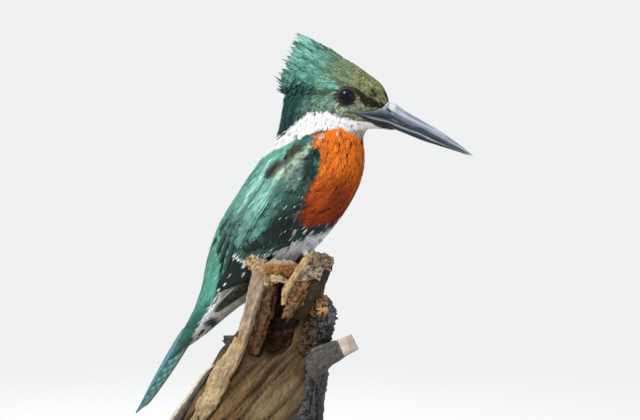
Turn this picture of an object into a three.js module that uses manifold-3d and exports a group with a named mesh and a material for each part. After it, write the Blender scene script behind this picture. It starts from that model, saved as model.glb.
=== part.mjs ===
// Amazon kingfisher, adult male, sitting upright on a short length of broken branch, on a display stand.
// Millimetres. +X is the way the bird faces, +Y is its left side, +Z is up.
// The origin is the middle of the stand's underside.
import * as THREE from "three";
import { mergeVertices } from "three/addons/utils/BufferGeometryUtils.js";
import { RoundedBoxGeometry } from "three/addons/geometries/RoundedBoxGeometry.js";
import Module from "manifold-3d";

const wasm = await Module();
wasm.setup();

// ---- Driving dimensions ----

const GAP = 0.3;
const DEGREE = Math.PI / 180;

// The body is drawn as the lines of a hull: at each station a point on the back line, a point on the
// belly line (x, z in the plane of symmetry), and the half width between them.
const BODY_STATIONS = [
  { name: "bill base", back: [80.5, 248.3], belly: [77, 231], halfWidth: 5.6 },
  { name: "lores", back: [76, 257.2], belly: [71.5, 230.4], halfWidth: 9.4 },
  { name: "brow", back: [66, 265], belly: [67.8, 229.8], halfWidth: 11.6 },
  { name: "crown", back: [53, 273], belly: [66, 228.4], halfWidth: 12.9 },
  { name: "back of skull", back: [33, 279], belly: [65, 226.6], halfWidth: 14 },
  { name: "top of nape", back: [17, 263.5], belly: [64.4, 224.4], halfWidth: 14.9 },
  { name: "nape", back: [13.5, 243], belly: [64.4, 220.5], halfWidth: 16.6 },
  { name: "collar", back: [8, 224], belly: [65, 213.8], halfWidth: 20 },
  { name: "shoulder", back: [-2.8, 207.5], belly: [64, 203], halfWidth: 22.4 },
  { name: "middle back", back: [-15, 190], belly: [59, 189.5], halfWidth: 22.8 },
  { name: "waist", back: [-27.5, 170], belly: [48, 172.5], halfWidth: 22 },
  { name: "flank", back: [-34.8, 150], belly: [31, 153.5], halfWidth: 19.6 },
  { name: "vent", back: [-39.3, 129.5], belly: [4, 132], halfWidth: 15.4 },
  { name: "rump", back: [-45, 113], belly: [-18, 117], halfWidth: 11.6 },
  { name: "tail coverts", back: [-51, 100.5], belly: [-37, 101.5], halfWidth: 7.8 },
  { name: "end of coverts", back: [-55.2, 92.5], belly: [-49.5, 92.5], halfWidth: 4.6 },
];
const BODY_RINGS = 28;
const BODY_SIDES = 20;
const BODY_FULLNESS = 0.86;

// Cuts that part the body: a point on the cut, and how far the cut plane leans from level.
const HEAD_CUT = { x: 12, z: 236.5, lean: -12 };
const NECK_CUT = { x: 0, z: 209.5, lean: 2 };
const RUMP_CUT = { x: -38, z: 140.5, lean: -34 };

const EYE_CENTRE = new THREE.Vector3(58, 10.6, 250.3);
const EYE_RADIUS = 5.9;
const EYE_FLATNESS = 0.72;
const EYE_TURN_FORWARD = 9;

// Bill: x, height of the ridge or keel, height of the cutting edge, half width at the cutting edge.
const UPPER_BILL = [
  { x: 57, ridge: 242, edge: 240.9, halfWidth: 12.3 },
  { x: 65, ridge: 242.4, edge: 239.7, halfWidth: 11.1 },
  { x: 73, ridge: 243, edge: 238.5, halfWidth: 8.9 },
  { x: 79, ridge: 246.4, edge: 237.5, halfWidth: 6.5 },
  { x: 83.5, ridge: 246.2, edge: 236.2, halfWidth: 5.7 },
  { x: 91, ridge: 241.2, edge: 232.9, halfWidth: 4.8 },
  { x: 101.5, ridge: 235.3, edge: 228.7, halfWidth: 3.9 },
  { x: 114, ridge: 228.2, edge: 222.4, halfWidth: 2.8 },
  { x: 124, ridge: 221.4, edge: 217.7, halfWidth: 1.6 },
  { x: 131, ridge: 216, edge: 214.6, halfWidth: 0.7 },
  { x: 133.4, ridge: 214.2, edge: 213.5, halfWidth: 0.3 },
];
const LOWER_BILL = [
  { x: 57.5, ridge: 239.6, edge: 240.5, halfWidth: 12 },
  { x: 65, ridge: 236.8, edge: 239.3, halfWidth: 10.8 },
  { x: 73, ridge: 233.6, edge: 238.1, halfWidth: 8.5 },
  { x: 80, ridge: 231.4, edge: 236.9, halfWidth: 6 },
  { x: 91, ridge: 227.2, edge: 232.5, halfWidth: 4.5 },
  { x: 101.5, ridge: 223.1, edge: 228.3, halfWidth: 3.6 },
  { x: 114, ridge: 219.2, edge: 222, halfWidth: 2.5 },
  { x: 124, ridge: 216.2, edge: 217.3, halfWidth: 1.4 },
  { x: 130.5, ridge: 213.9, edge: 214.6, halfWidth: 0.5 },
];
const BILL_SIDES = 10;
const BILL_ARCH_POWER = 1.15;

// Crest: pointed locks fan out behind the crown, from the first, topmost one to the last at the nape.
const CREST_LOCKS = 9;
const CREST_FIRST_ROOT = [58, 266];
const CREST_LAST_ROOT = [24, 250];
const CREST_FAN_CENTRE = [56, 252];
const CREST_FIRST_ANGLE = 130.5;
const CREST_LAST_ANGLE = 176;
const CREST_FIRST_LENGTH = 49.5;
const CREST_LAST_LENGTH = 43.5;
const CREST_RAGGEDNESS = 1.3;
const CREST_LOCK_HALF_WIDTH = 5.4;
const CREST_LOCK_HALF_THICKNESS = 7.5;
// Along a lock from root to tip: where its rings stand, and how its width and thickness shrink.
const CREST_LOCK_STAGES = [0, 0.4, 0.72, 1];
const CREST_LOCK_TAPER = [0.9, 1.1, 0.85, 0.08];
const CREST_LOCK_THINNING = [1, 0.95, 0.6, 0.06];

// Folded wing, seen from the side: three tracts of feathers one behind the other, as outlines in x, z.
const WING_TRACTS = [
  {
    name: "coverts",
    thickness: 3.4,
    colour: 0x3f6f62,
    outline: [
      [18, 216.5],
      [30, 223.6],
      [39, 223],
      [42.6, 216],
      [41.6, 207],
      [38, 196],
      [34.4, 183],
      [31, 170],
      [14, 163],
      [-4, 166],
      [2.6, 184],
      [9.4, 203],
    ],
  },
  {
    name: "secondaries",
    thickness: 3,
    colour: 0x22352f,
    outline: [
      [30.4, 171],
      [24, 159],
      [13.3, 149.6],
      [5, 141],
      [-5, 137],
      [-15, 141],
      [-17, 147],
      [-4.7, 166],
      [4, 172],
      [18, 172],
    ],
  },
  {
    name: "primaries",
    thickness: 2.8,
    colour: 0x3a3a33,
    outline: [
      [5, 142],
      [-3.4, 131.4],
      [-15, 122.4],
      [-28.5, 112.8],
      [-29.5, 115],
      [-24.6, 128],
      [-16.6, 142],
      [-5, 144],
    ],
  },
];

const WING_EDGE_STEPS = 17;
const WING_RIM_WIDTH = 2.5;
const WING_RIM_THINNING = 0.7;
const WING_SLAB_DEPTH = 60;
const WING_CLEAR_OF_MIDDLE = 1;

// Tail: a folded fan, roofed along its middle and rolled a little to the right.
const TAIL_ROOT = new THREE.Vector3(-38.5, 0, 121);
const TAIL_TIP = new THREE.Vector3(-81, 0, 53.4);
const TAIL_HALF_WIDTH = 10.2;
const TAIL_TAPER = [0.7, 0.85, 0.95, 1, 0.98, 0.88, 0.72, 0.54, 0.12];
const TAIL_RINGS = 12;
const TAIL_THICKNESS = 1.3;
const TAIL_ROOF = 40;
const TAIL_ROLL = 13;

// Feet grip a level ridge of the branch that runs across under the belly.
const PERCH_RIDGE = { x: 31.8, z: 141.4, radius: 8.2 };
const FOOT_SPACING = 8.2;
const TOE_RADIUS = 1.45;
const TOES = [
  { name: "outer", length: 13.5, side: 2.4 },
  { name: "middle", length: 15.5, side: 0.3 },
  { name: "inner", length: 10.5, side: -2.5 },
  { name: "hind", length: -9, side: -0.6 },
];
// Along a toe from its root to the claw's tip: where its rings stand, and its thickness there.
const TOE_STAGES = [0, 0.25, 0.5, 0.72, 0.8, 0.92, 1];
const TOE_TAPER = [1.15, 1.05, 0.95, 0.9, 0.6, 0.4, 0.12];
const CLAW_START = 0.72;
const CLAW_LIFT = 0.5;
const TOE_SINK = 0.6;
const TOE_ROOT_ANGLE = 0.06;
const TOE_ROOT_SPREAD = 0.55;
const TOE_SPREAD_GAIN = 0.75;
const CLAW_TIP_RADIUS = 0.25;
const ANKLE_HEIGHT = 3;
const ANKLE_SET_BACK = 0.6;
const ANKLE_RADIUS = 1.9;
const LEG_TOP = new THREE.Vector3(27, FOOT_SPACING, 164);
const LEG_RADIUS = 1.7;

const BRANCH_CUT_HEIGHT = 42;
const WOOD_LUMPINESS = 0.08;
const STAND = { length: 160, width: 120, height: 12, corner: 2 };
const ROD_RADIUS = 4;
const ROD_PLACES = [
  { name: "stand_rod_rear", x: -34 },
  { name: "stand_rod_front", x: 18 },
];

// ---- Joining and cutting ----

// A closed three.js geometry as a solid: shared corners are merged and faces of no area are dropped.
function solid(geometry) {
  const bare = geometry.clone();
  bare.deleteAttribute("normal");
  bare.deleteAttribute("uv");
  const merged = mergeVertices(bare, 1e-4);
  const kept = [];
  const index = merged.index.array;
  for (let i = 0; i < index.length; i += 3) {
    const [a, b, c] = index.slice(i, i + 3);
    if (a !== b && b !== c && a !== c) {
      kept.push(a, b, c);
    }
  }
  const mesh = new wasm.Mesh({
    numProp: 3,
    vertProperties: new Float32Array(merged.attributes.position.array),
    triVerts: new Uint32Array(kept),
  });
  return new wasm.Manifold(mesh);
}

function union(solids) {
  return solids.reduce((sum, each) => sum.add(each));
}

// Only the largest body of a cut is kept, so that no crumbs are left at an edge.
function largestBody(shape) {
  const bodies = shape.decompose();
  return bodies.reduce((best, each) => (each.volume() > best.volume() ? each : best));
}

function namedMesh(name, shape, colour, roughness = 0.8) {
  const result = largestBody(shape).getMesh();
  const positions = new Float32Array(result.numVert * 3);
  for (let i = 0; i < result.numVert; i++) {
    const start = i * result.numProp;
    positions.set(result.vertProperties.subarray(start, start + 3), i * 3);
  }
  const geometry = new THREE.BufferGeometry();
  geometry.setAttribute("position", new THREE.BufferAttribute(positions, 3));
  geometry.setIndex(new THREE.BufferAttribute(new Uint32Array(result.triVerts), 1));
  geometry.computeVertexNormals();
  const material = new THREE.MeshStandardMaterial({ color: colour, roughness, metalness: 0 });
  const mesh = new THREE.Mesh(geometry, material);
  mesh.name = name;
  return mesh;
}

// ---- Shapes ----

// A skin over a row of closed rings, with a flat cap at each end.
function loft(rings) {
  const sides = rings[0].length;
  const points = rings.flat();
  const last = (rings.length - 1) * sides;
  const faces = [];
  for (let ring = 0; ring + 1 < rings.length; ring++) {
    for (let side = 0; side < sides; side++) {
      const a = ring * sides + side;
      const b = ring * sides + ((side + 1) % sides);
      faces.push(a, b, a + sides, b, b + sides, a + sides);
    }
  }
  for (let side = 1; side + 1 < sides; side++) {
    faces.push(0, side + 1, side);
    faces.push(last, last + side, last + side + 1);
  }
  const geometry = new THREE.BufferGeometry().setFromPoints(points);
  geometry.setIndex(faces);
  const made = solid(geometry);
  if (made.volume() > 0) {
    return made;
  }
  geometry.setIndex(faces.reverse());
  return solid(geometry);
}

// The value at t, from 0 to 1, of a smooth line through evenly spaced values.
function smooth(values, t) {
  const place = Math.min(Math.max(t, 0), 1) * (values.length - 1);
  const i = Math.min(Math.floor(place), values.length - 2);
  const f = place - i;
  const at = (k) => values[Math.min(Math.max(k, 0), values.length - 1)];
  const [p0, p1, p2, p3] = [at(i - 1), at(i), at(i + 1), at(i + 2)];
  const slope1 = (p2 - p0) / 2;
  const slope2 = (p3 - p1) / 2;
  const bend = 3 * (p2 - p1) - 2 * slope1 - slope2;
  const twist = slope1 + slope2 - 2 * (p2 - p1);
  return p1 + f * (slope1 + f * (bend + f * twist));
}

// One ring of the body at t along it, standing `grow` outside the body's own surface.
function bodyRing(t, grow) {
  const line = (pick) => smooth(BODY_STATIONS.map(pick), t);
  const back = new THREE.Vector2(line((s) => s.back[0]), line((s) => s.back[1]));
  const belly = new THREE.Vector2(line((s) => s.belly[0]), line((s) => s.belly[1]));
  const middle = back.clone().add(belly).multiplyScalar(0.5);
  const toBack = back.clone().sub(middle);
  toBack.setLength(toBack.length() + grow);
  const halfWidth = line((s) => s.halfWidth) + grow;
  const ring = [];
  for (let side = 0; side < BODY_SIDES; side++) {
    const angle = (2 * Math.PI * side) / BODY_SIDES;
    const across = Math.sin(angle);
    const y = Math.sign(across) * Math.abs(across) ** BODY_FULLNESS * halfWidth;
    const x = middle.x + toBack.x * Math.cos(angle);
    const z = middle.y + toBack.y * Math.cos(angle);
    ring.push(new THREE.Vector3(x, y, z));
  }
  return ring;
}

function body(grow = 0) {
  const rings = [];
  for (let i = 0; i <= BODY_RINGS; i++) {
    rings.push(bodyRing(i / BODY_RINGS, grow));
  }
  return loft(rings);
}

// Everything above a leaning cut plane, or below it, set back by half the gap between the parts.
function halfSpace(cut, above) {
  const size = 600;
  const box = new THREE.BoxGeometry(size, size, size);
  box.translate(0, 0, (above ? 1 : -1) * (size / 2 + GAP / 2));
  box.rotateY(-cut.lean * DEGREE);
  box.translate(cut.x, 0, cut.z);
  return solid(box);
}

// A round limb along a smooth path, with its half thickness across the path and across the bird.
function limb(points, sides, steps, lumpiness = 0, phase = 0) {
  const path = new THREE.CatmullRomCurve3(points.map((p) => new THREE.Vector3(p.x, p.y, p.z)));
  const rings = [];
  for (let i = 0; i <= steps; i++) {
    const t = i / steps;
    const centre = path.getPoint(t);
    const along = path.getTangent(t);
    const upright = Math.abs(along.y) > 0.8 ? new THREE.Vector3(0, 0, 1) : new THREE.Vector3(0, 1, 0);
    const first = new THREE.Vector3().crossVectors(upright, along).normalize();
    const second = new THREE.Vector3().crossVectors(along, first);
    const wide = smooth(points.map((p) => p.wide), t);
    const deep = smooth(points.map((p) => p.deep), t);
    const ring = [];
    for (let side = 0; side < sides; side++) {
      const angle = (2 * Math.PI * side) / sides;
      const lump = 1 + lumpiness * Math.sin(3 * angle + phase + 5 * t) * Math.cos(2 * angle - 9 * t + phase);
      const point = centre.clone();
      point.addScaledVector(first, wide * lump * Math.cos(angle));
      point.addScaledVector(second, deep * lump * Math.sin(angle));
      ring.push(point);
    }
    rings.push(ring);
  }
  return loft(rings);
}

// ---- Head ----

// A mandible: an arched section between the cutting edges on one side, and flat on the other.
function mandible(stations, grow) {
  const steps = stations.length - 1;
  const rings = [];
  for (let i = 0; i <= steps; i++) {
    const t = i / steps;
    const beyondEnd = i === 0 ? -grow : i === steps ? grow : 0;
    const x = smooth(stations.map((s) => s.x), t) + beyondEnd;
    const edge = smooth(stations.map((s) => s.edge), t);
    const ridge = smooth(stations.map((s) => s.ridge), t);
    const halfWidth = smooth(stations.map((s) => s.halfWidth), t) + grow;
    const rise = ridge - edge;
    const outward = Math.sign(rise) * grow;
    const ring = [];
    for (let side = 0; side <= BILL_SIDES; side++) {
      const angle = (Math.PI * side) / BILL_SIDES;
      const arch = rise * Math.sin(angle) ** BILL_ARCH_POWER;
      ring.push(new THREE.Vector3(x, halfWidth * Math.cos(angle), edge + arch + outward));
    }
    if (grow > 0) {
      ring.push(new THREE.Vector3(x, -halfWidth, edge - outward));
      ring.push(new THREE.Vector3(x, halfWidth, edge - outward));
    }
    rings.push(ring);
  }
  return loft(rings);
}

// The eyeball is a lens whose axis points sideways and a little forward.
function eyeball(side, grow) {
  const ball = new THREE.SphereGeometry(EYE_RADIUS + grow, 12, 8);
  ball.scale(1, EYE_FLATNESS, 1);
  ball.rotateZ(-side * EYE_TURN_FORWARD * DEGREE);
  ball.translate(EYE_CENTRE.x, side * EYE_CENTRE.y, EYE_CENTRE.z);
  return solid(ball);
}

// One crest lock runs from its root inside the crown to its tip on the fan's ragged rim.
function crestLock(number) {
  const t = number / (CREST_LOCKS - 1);
  const ragged = number % 2 === 0 ? CREST_RAGGEDNESS : -CREST_RAGGEDNESS;
  const angle = THREE.MathUtils.lerp(CREST_FIRST_ANGLE, CREST_LAST_ANGLE, t) * DEGREE;
  const reach = THREE.MathUtils.lerp(CREST_FIRST_LENGTH, CREST_LAST_LENGTH, t) + ragged;
  const tipX = CREST_FAN_CENTRE[0] + reach * Math.cos(angle);
  const tipZ = CREST_FAN_CENTRE[1] + reach * Math.sin(angle);
  const rootX = THREE.MathUtils.lerp(CREST_FIRST_ROOT[0], CREST_LAST_ROOT[0], t);
  const rootZ = THREE.MathUtils.lerp(CREST_FIRST_ROOT[1], CREST_LAST_ROOT[1], t);
  const points = CREST_LOCK_STAGES.map((s, i) => ({
    x: THREE.MathUtils.lerp(rootX, tipX, s),
    y: 0,
    z: THREE.MathUtils.lerp(rootZ, tipZ, s),
    wide: CREST_LOCK_HALF_WIDTH * CREST_LOCK_TAPER[i],
    deep: CREST_LOCK_HALF_THICKNESS * CREST_LOCK_THINNING[i],
  }));
  return limb(points, 6, 4);
}

function crest() {
  const locks = [];
  for (let number = 0; number < CREST_LOCKS; number++) {
    locks.push(crestLock(number));
  }
  return union(locks).subtract(body(GAP));
}

function head(whole) {
  let shape = whole.intersect(halfSpace(HEAD_CUT, true));
  shape = shape.subtract(mandible(UPPER_BILL, GAP)).subtract(mandible(LOWER_BILL, GAP));
  return shape.subtract(eyeball(-1, GAP)).subtract(eyeball(1, GAP));
}

// ---- Wings ----

// A slab through one side of the bird with a tract's rounded outline, drawn in toward its middle.
function tractSlab(tract, side, inset) {
  const corners = tract.outline.map(([x, z]) => new THREE.Vector3(x, z, 0));
  const middle = new THREE.Vector3();
  corners.forEach((corner) => middle.addScaledVector(corner, 1 / corners.length));
  corners.forEach((corner) => corner.addScaledVector(corner.clone().sub(middle).normalize(), -inset));
  const edge = new THREE.CatmullRomCurve3(corners, true).getPoints(WING_EDGE_STEPS);
  const shape = new THREE.Shape();
  shape.setFromPoints(edge.slice(0, -1).map((point) => new THREE.Vector2(point.x, point.y)));
  const slab = new THREE.ExtrudeGeometry(shape, { depth: WING_SLAB_DEPTH, bevelEnabled: false });
  slab.rotateX(90 * DEGREE);
  slab.translate(0, side > 0 ? WING_SLAB_DEPTH + WING_CLEAR_OF_MIDDLE : -WING_CLEAR_OF_MIDDLE, 0);
  return solid(slab);
}

// A tract lies on the body like a shell: the body grown by its thickness, trimmed to its outline.
// Its rim is a thinner layer, and it stops short of the tract ahead of it, which overlies its roots.
function wingTract(number, side, grow) {
  const tract = WING_TRACTS[number];
  const rim = body(tract.thickness * WING_RIM_THINNING + grow).intersect(tractSlab(tract, side, 0));
  const middle = body(tract.thickness + grow).intersect(tractSlab(tract, side, WING_RIM_WIDTH));
  const shell = rim.add(middle);
  if (number === 0) {
    return shell;
  }
  return shell.subtract(tractSlab(WING_TRACTS[number - 1], side, -GAP));
}

// ---- Tail ----

// A ring of the tail: two thin plates that meet in a ridge along the middle.
function tailRing(t, grow) {
  const along = new THREE.Vector3().subVectors(TAIL_TIP, TAIL_ROOT).normalize();
  const centre = new THREE.Vector3().lerpVectors(TAIL_ROOT, TAIL_TIP, t);
  const up = new THREE.Vector3(along.z, 0, -along.x);
  const left = new THREE.Vector3(0, 1, 0);
  up.applyAxisAngle(along, TAIL_ROLL * DEGREE);
  left.applyAxisAngle(along, TAIL_ROLL * DEGREE);
  const reach = TAIL_HALF_WIDTH * smooth(TAIL_TAPER, t) + grow;
  const half = TAIL_THICKNESS / 2 + grow;
  const places = [-1, -0.5, 0, 0.5, 1];
  const point = (place, lift) => {
    const out = reach * place * Math.cos(TAIL_ROOF * DEGREE);
    const drop = reach * Math.abs(place) * Math.sin(TAIL_ROOF * DEGREE);
    return centre.clone().addScaledVector(left, out).addScaledVector(up, lift - drop);
  };
  const top = places.map((place) => point(place, half));
  const under = places.map((place) => point(place, -half)).reverse();
  return [...top, ...under];
}

function tail(grow = 0) {
  const rings = [];
  for (let i = 0; i <= TAIL_RINGS; i++) {
    rings.push(tailRing(i / TAIL_RINGS, grow));
  }
  return loft(rings);
}

// ---- Legs and feet ----

// A toe bends round the ridge of the branch and ends in a pointed claw, which stands a little proud.
function toe({ length, side: sideways }, side, grow) {
  const way = Math.sign(length);
  const wrap = PERCH_RIDGE.radius + GAP + TOE_RADIUS;
  const points = TOE_STAGES.map((s, i) => {
    const angle = (length * s) / wrap + way * TOE_ROOT_ANGLE;
    const clawLift = s > CLAW_START ? (1 - s) * CLAW_LIFT : 0;
    const reach = wrap + clawLift - (1 - TOE_TAPER[i]) * TOE_SINK;
    const spread = sideways * (TOE_ROOT_SPREAD + TOE_SPREAD_GAIN * s);
    const radius = Math.max(TOE_RADIUS * TOE_TAPER[i], CLAW_TIP_RADIUS) + grow;
    return {
      x: PERCH_RIDGE.x + reach * Math.sin(angle),
      y: side * (FOOT_SPACING + spread),
      z: PERCH_RIDGE.z + reach * Math.cos(angle),
      wide: radius,
      deep: radius,
    };
  });
  return limb(points, 6, 5);
}

// A point on the leg's line, at a height above the ridge and set back from it.
function legPoint(side, height, setBack, wide, deep) {
  return {
    x: PERCH_RIDGE.x - setBack,
    y: side * FOOT_SPACING,
    z: PERCH_RIDGE.z + PERCH_RIDGE.radius + height,
    wide,
    deep,
  };
}

// The knob where the toes meet.
function ankle(side, grow) {
  const low = legPoint(side, 0.5, 0, 2.4 + grow, 2.6 + grow);
  const high = legPoint(side, ANKLE_HEIGHT, ANKLE_SET_BACK, ANKLE_RADIUS + grow, ANKLE_RADIUS + grow);
  return limb([low, high], 6, 2);
}

function foot(side, grow = 0) {
  return union([...TOES.map((each) => toe(each, side, grow)), ankle(side, grow)]);
}

// The short bare shank thickens into the feathered thigh at its top.
function leg(side) {
  const start = ANKLE_HEIGHT + GAP;
  const low = legPoint(side, start, ANKLE_SET_BACK, LEG_RADIUS, LEG_RADIUS);
  const middle = legPoint(side, start + 3, 2, LEG_RADIUS, LEG_RADIUS);
  const thigh = { wide: LEG_RADIUS * 2, deep: LEG_RADIUS * 1.7 };
  const high = { x: LEG_TOP.x, y: side * LEG_TOP.y, z: LEG_TOP.z, ...thigh };
  return limb([low, middle, high], 6, 4);
}

// ---- Branch ----

// The heart of the broken branch: a lumpy leaning stump that is sawn level at its lower end.
function stump() {
  return limb(
    [
      { x: -19, y: 2, z: 30, wide: 46, deep: 29 },
      { x: -10, y: 2, z: 52, wide: 39, deep: 29 },
      { x: 4, y: 2, z: 78, wide: 31, deep: 28 },
      { x: 14, y: 2, z: 100, wide: 24, deep: 26 },
      { x: 20, y: 1, z: 124, wide: 17, deep: 24 },
      { x: 27, y: 1, z: 146, wide: 13, deep: 20 },
    ],
    12,
    7,
    WOOD_LUMPINESS,
    1.3,
  );
}

// Planks and spikes of split wood round the stump. Each is a path with its half sizes.
const OUTER_SPLINTERS = {
  lightPlank: [
    { x: -36, y: -20, z: 52, wide: 8.5, deep: 6 },
    { x: -24, y: -24, z: 74, wide: 8, deep: 4.6 },
    { x: -13, y: -25, z: 91, wide: 5.5, deep: 3.4 },
    { x: -4, y: -25, z: 104, wide: 1, deep: 1 },
  ],
  outerPlank: [
    { x: -57, y: -8, z: 38, wide: 6, deep: 12 },
    { x: -42, y: -10, z: 62, wide: 4.6, deep: 10 },
    { x: -31, y: -12, z: 78, wide: 3.2, deep: 7 },
    { x: -22, y: -14, z: 86, wide: 0.8, deep: 1.5 },
  ],
  darkSpike: [
    { x: -2, y: -14, z: 96, wide: 5, deep: 7 },
    { x: -13, y: -15, z: 101.5, wide: 3.4, deep: 4 },
    { x: -20.5, y: -16, z: 102, wide: 0.7, deep: 0.9 },
  ],
  sideKnob: [
    { x: 32, y: -8, z: 98, wide: 12, deep: 13 },
    { x: 43, y: -11, z: 112, wide: 9.5, deep: 10 },
    { x: 42, y: -12, z: 124, wide: 7, deep: 8 },
    { x: 38, y: -12, z: 128, wide: 3, deep: 4 },
  ],
  bark: [
    { x: 18, y: 0, z: 34, wide: 13, deep: 18 },
    { x: 23, y: 0, z: 58, wide: 11.5, deep: 19 },
    { x: 30, y: -2, z: 84, wide: 11.5, deep: 18 },
    { x: 31, y: -2, z: 104, wide: 11, deep: 16 },
  ],
  farSlab: [
    { x: -14, y: 20, z: 70, wide: 12, deep: 7 },
    { x: 2, y: 22, z: 104, wide: 9, deep: 6 },
    { x: 12, y: 21.5, z: 130, wide: 6, deep: 4.5 },
    { x: 17, y: 21.5, z: 141, wide: 1.6, deep: 1.6 },
  ],
};

// Splinters that stand up on the right-hand side, in front of the hollow.
const FRONT_SPLINTERS = {
  leftSlab: [
    { x: -20, y: -20, z: 60, wide: 11, deep: 7 },
    { x: -2, y: -23, z: 95, wide: 8, deep: 5.5 },
    { x: 5, y: -25, z: 128, wide: 5.5, deep: 4.2 },
    { x: 5, y: -25.5, z: 146, wide: 5.6, deep: 4 },
    { x: 4.2, y: -25.5, z: 151, wide: 3, deep: 2.6 },
  ],
  leftKnob: [
    { x: -2, y: -25, z: 147, wide: 3.6, deep: 3.6 },
    { x: 4, y: -25.5, z: 146, wide: 4, deep: 4 },
    { x: 10, y: -25, z: 143, wide: 3, deep: 3.4 },
  ],
  arch: [
    { x: 6, y: -25, z: 141, wide: 4.5, deep: 3.6 },
    { x: 14, y: -25, z: 147, wide: 4, deep: 3.4 },
    { x: 24, y: -24, z: 147, wide: 4.2, deep: 3.6 },
    { x: 33, y: -21, z: 143, wide: 4.6, deep: 4.6 },
  ],
  prong: [
    { x: 14, y: -23, z: 108, wide: 6, deep: 4.5 },
    { x: 22, y: -24, z: 124, wide: 6, deep: 4.6 },
    { x: 29, y: -25, z: 141, wide: 5.5, deep: 4.8 },
    { x: 38, y: -24, z: 151, wide: 4.6, deep: 5 },
    { x: 49.5, y: -22, z: 150, wide: 3.4, deep: 4.4 },
  ],
  prongKnob: [
    { x: 25, y: -20, z: 128, wide: 8, deep: 6 },
    { x: 36, y: -21, z: 138, wide: 8, deep: 7 },
    { x: 46, y: -21, z: 143, wide: 4.5, deep: 6 },
  ],
};

// The sawn-off stub of a side twig, pointing forward and toward the right-hand side.
const STUB = [
  { x: 34, y: -8, z: 90, wide: 7.6, deep: 7 },
  { x: 46, y: -14, z: 95, wide: 7.4, deep: 6.6 },
  { x: 61, y: -21, z: 99.5, wide: 7.2, deep: 6.4 },
];

// The ridge that the feet hold.
function ridge() {
  const { x, z, radius } = PERCH_RIDGE;
  return limb(
    [
      { x: x - 3, y: 25, z: z - 6, wide: radius * 0.6, deep: radius * 0.6 },
      { x, y: 13, z, wide: radius, deep: radius },
      { x, y: 0, z, wide: radius, deep: radius },
      { x, y: -13, z, wide: radius, deep: radius },
      { x: x + 3, y: -22, z: z + 2, wide: radius, deep: radius },
    ],
    10,
    5,
  );
}

// A rotted hollow runs up the right-hand face between the slab and the prong.
function hollow() {
  return limb(
    [
      { x: 2, y: -24, z: 88, wide: 4, deep: 4 },
      { x: 9, y: -24, z: 106, wide: 9, deep: 13 },
      { x: 15, y: -24, z: 124, wide: 8.5, deep: 13 },
      { x: 18, y: -24, z: 135, wide: 6, deep: 7 },
      { x: 19, y: -24, z: 141, wide: 2.5, deep: 3.5 },
    ],
    7,
    5,
  );
}

function splinters(paths) {
  return Object.values(paths).map((path, i) => limb(path, 6, 4, WOOD_LUMPINESS, i * 1.7));
}

function branch(wings) {
  let shape = union([stump(), ...splinters(OUTER_SPLINTERS)]).subtract(hollow());
  shape = shape.add(union([ridge(), limb(STUB, 8, 2), ...splinters(FRONT_SPLINTERS)]));
  const sawCut = { x: 0, z: BRANCH_CUT_HEIGHT - GAP / 2, lean: 0 };
  shape = shape.intersect(halfSpace(sawCut, true));
  shape = shape.subtract(body(2 * GAP));
  const hindToe = TOES.find((each) => each.name === "hind");
  for (const side of [-1, 1]) {
    shape = shape.subtract(toe(hindToe, side, GAP));
  }
  for (const tract of wings) {
    shape = shape.subtract(tract);
  }
  return shape;
}

// ---- Display stand ----

function standBase() {
  const { length, width, height, corner } = STAND;
  const block = new RoundedBoxGeometry(length, width, height, 1, corner);
  block.translate(0, 0, height / 2);
  return solid(block);
}

function standRod(x) {
  const height = BRANCH_CUT_HEIGHT - STAND.height - 2 * GAP;
  const rod = new THREE.CylinderGeometry(ROD_RADIUS, ROD_RADIUS, height, 16);
  rod.rotateX(90 * DEGREE);
  rod.translate(x, 0, STAND.height + GAP + height / 2);
  return solid(rod);
}

// ---- The bird, branch and stand together ----

const kingfisher = new THREE.Group();
const whole = body();
const tailRoom = tail(GAP);
const neckSpace = halfSpace(HEAD_CUT, false).intersect(halfSpace(NECK_CUT, true));
const trunkSpace = halfSpace(NECK_CUT, false).intersect(halfSpace(RUMP_CUT, true));

kingfisher.add(namedMesh("head", head(whole), 0x6b7d5c));
kingfisher.add(namedMesh("crest", crest(), 0x6fae97));
kingfisher.add(namedMesh("bill_upper", mandible(UPPER_BILL, 0), 0x4d5a60, 0.4));
kingfisher.add(namedMesh("bill_lower", mandible(LOWER_BILL, 0), 0x23272a, 0.4));
kingfisher.add(namedMesh("neck", whole.intersect(neckSpace), 0xf2f2ee));
kingfisher.add(namedMesh("trunk", whole.intersect(trunkSpace), 0xc4571b));
const rump = whole.intersect(halfSpace(RUMP_CUT, false)).subtract(tailRoom);
kingfisher.add(namedMesh("rump", rump, 0x4fa394));
kingfisher.add(namedMesh("tail", tail(), 0x3f9aa3));

const clearOfBody = body(GAP);
const wingRoom = [];
for (const [sideName, side] of [["left", 1], ["right", -1]]) {
  kingfisher.add(namedMesh(`eye_${sideName}`, eyeball(side, 0), 0x140f0c, 0.1));
  WING_TRACTS.forEach((tract, number) => {
    const shell = wingTract(number, side, 0).subtract(clearOfBody).subtract(tailRoom);
    kingfisher.add(namedMesh(`wing_${sideName}_${tract.name}`, shell, tract.colour));
    wingRoom.push(wingTract(number, side, GAP));
  });
  const shank = leg(side).subtract(clearOfBody).subtract(foot(side, GAP));
  kingfisher.add(namedMesh(`leg_${sideName}`, shank, 0x3a332e));
  kingfisher.add(namedMesh(`foot_${sideName}`, foot(side).subtract(clearOfBody), 0x2e2925));
}

kingfisher.add(namedMesh("perch", branch(wingRoom), 0x8a7350, 0.95));
kingfisher.add(namedMesh("stand_base", standBase(), 0x2a2a2c, 0.5));
for (const { name, x } of ROD_PLACES) {
  kingfisher.add(namedMesh(name, standRod(x), 0x4a4a4e, 0.3));
}

export default kingfisher;
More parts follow.
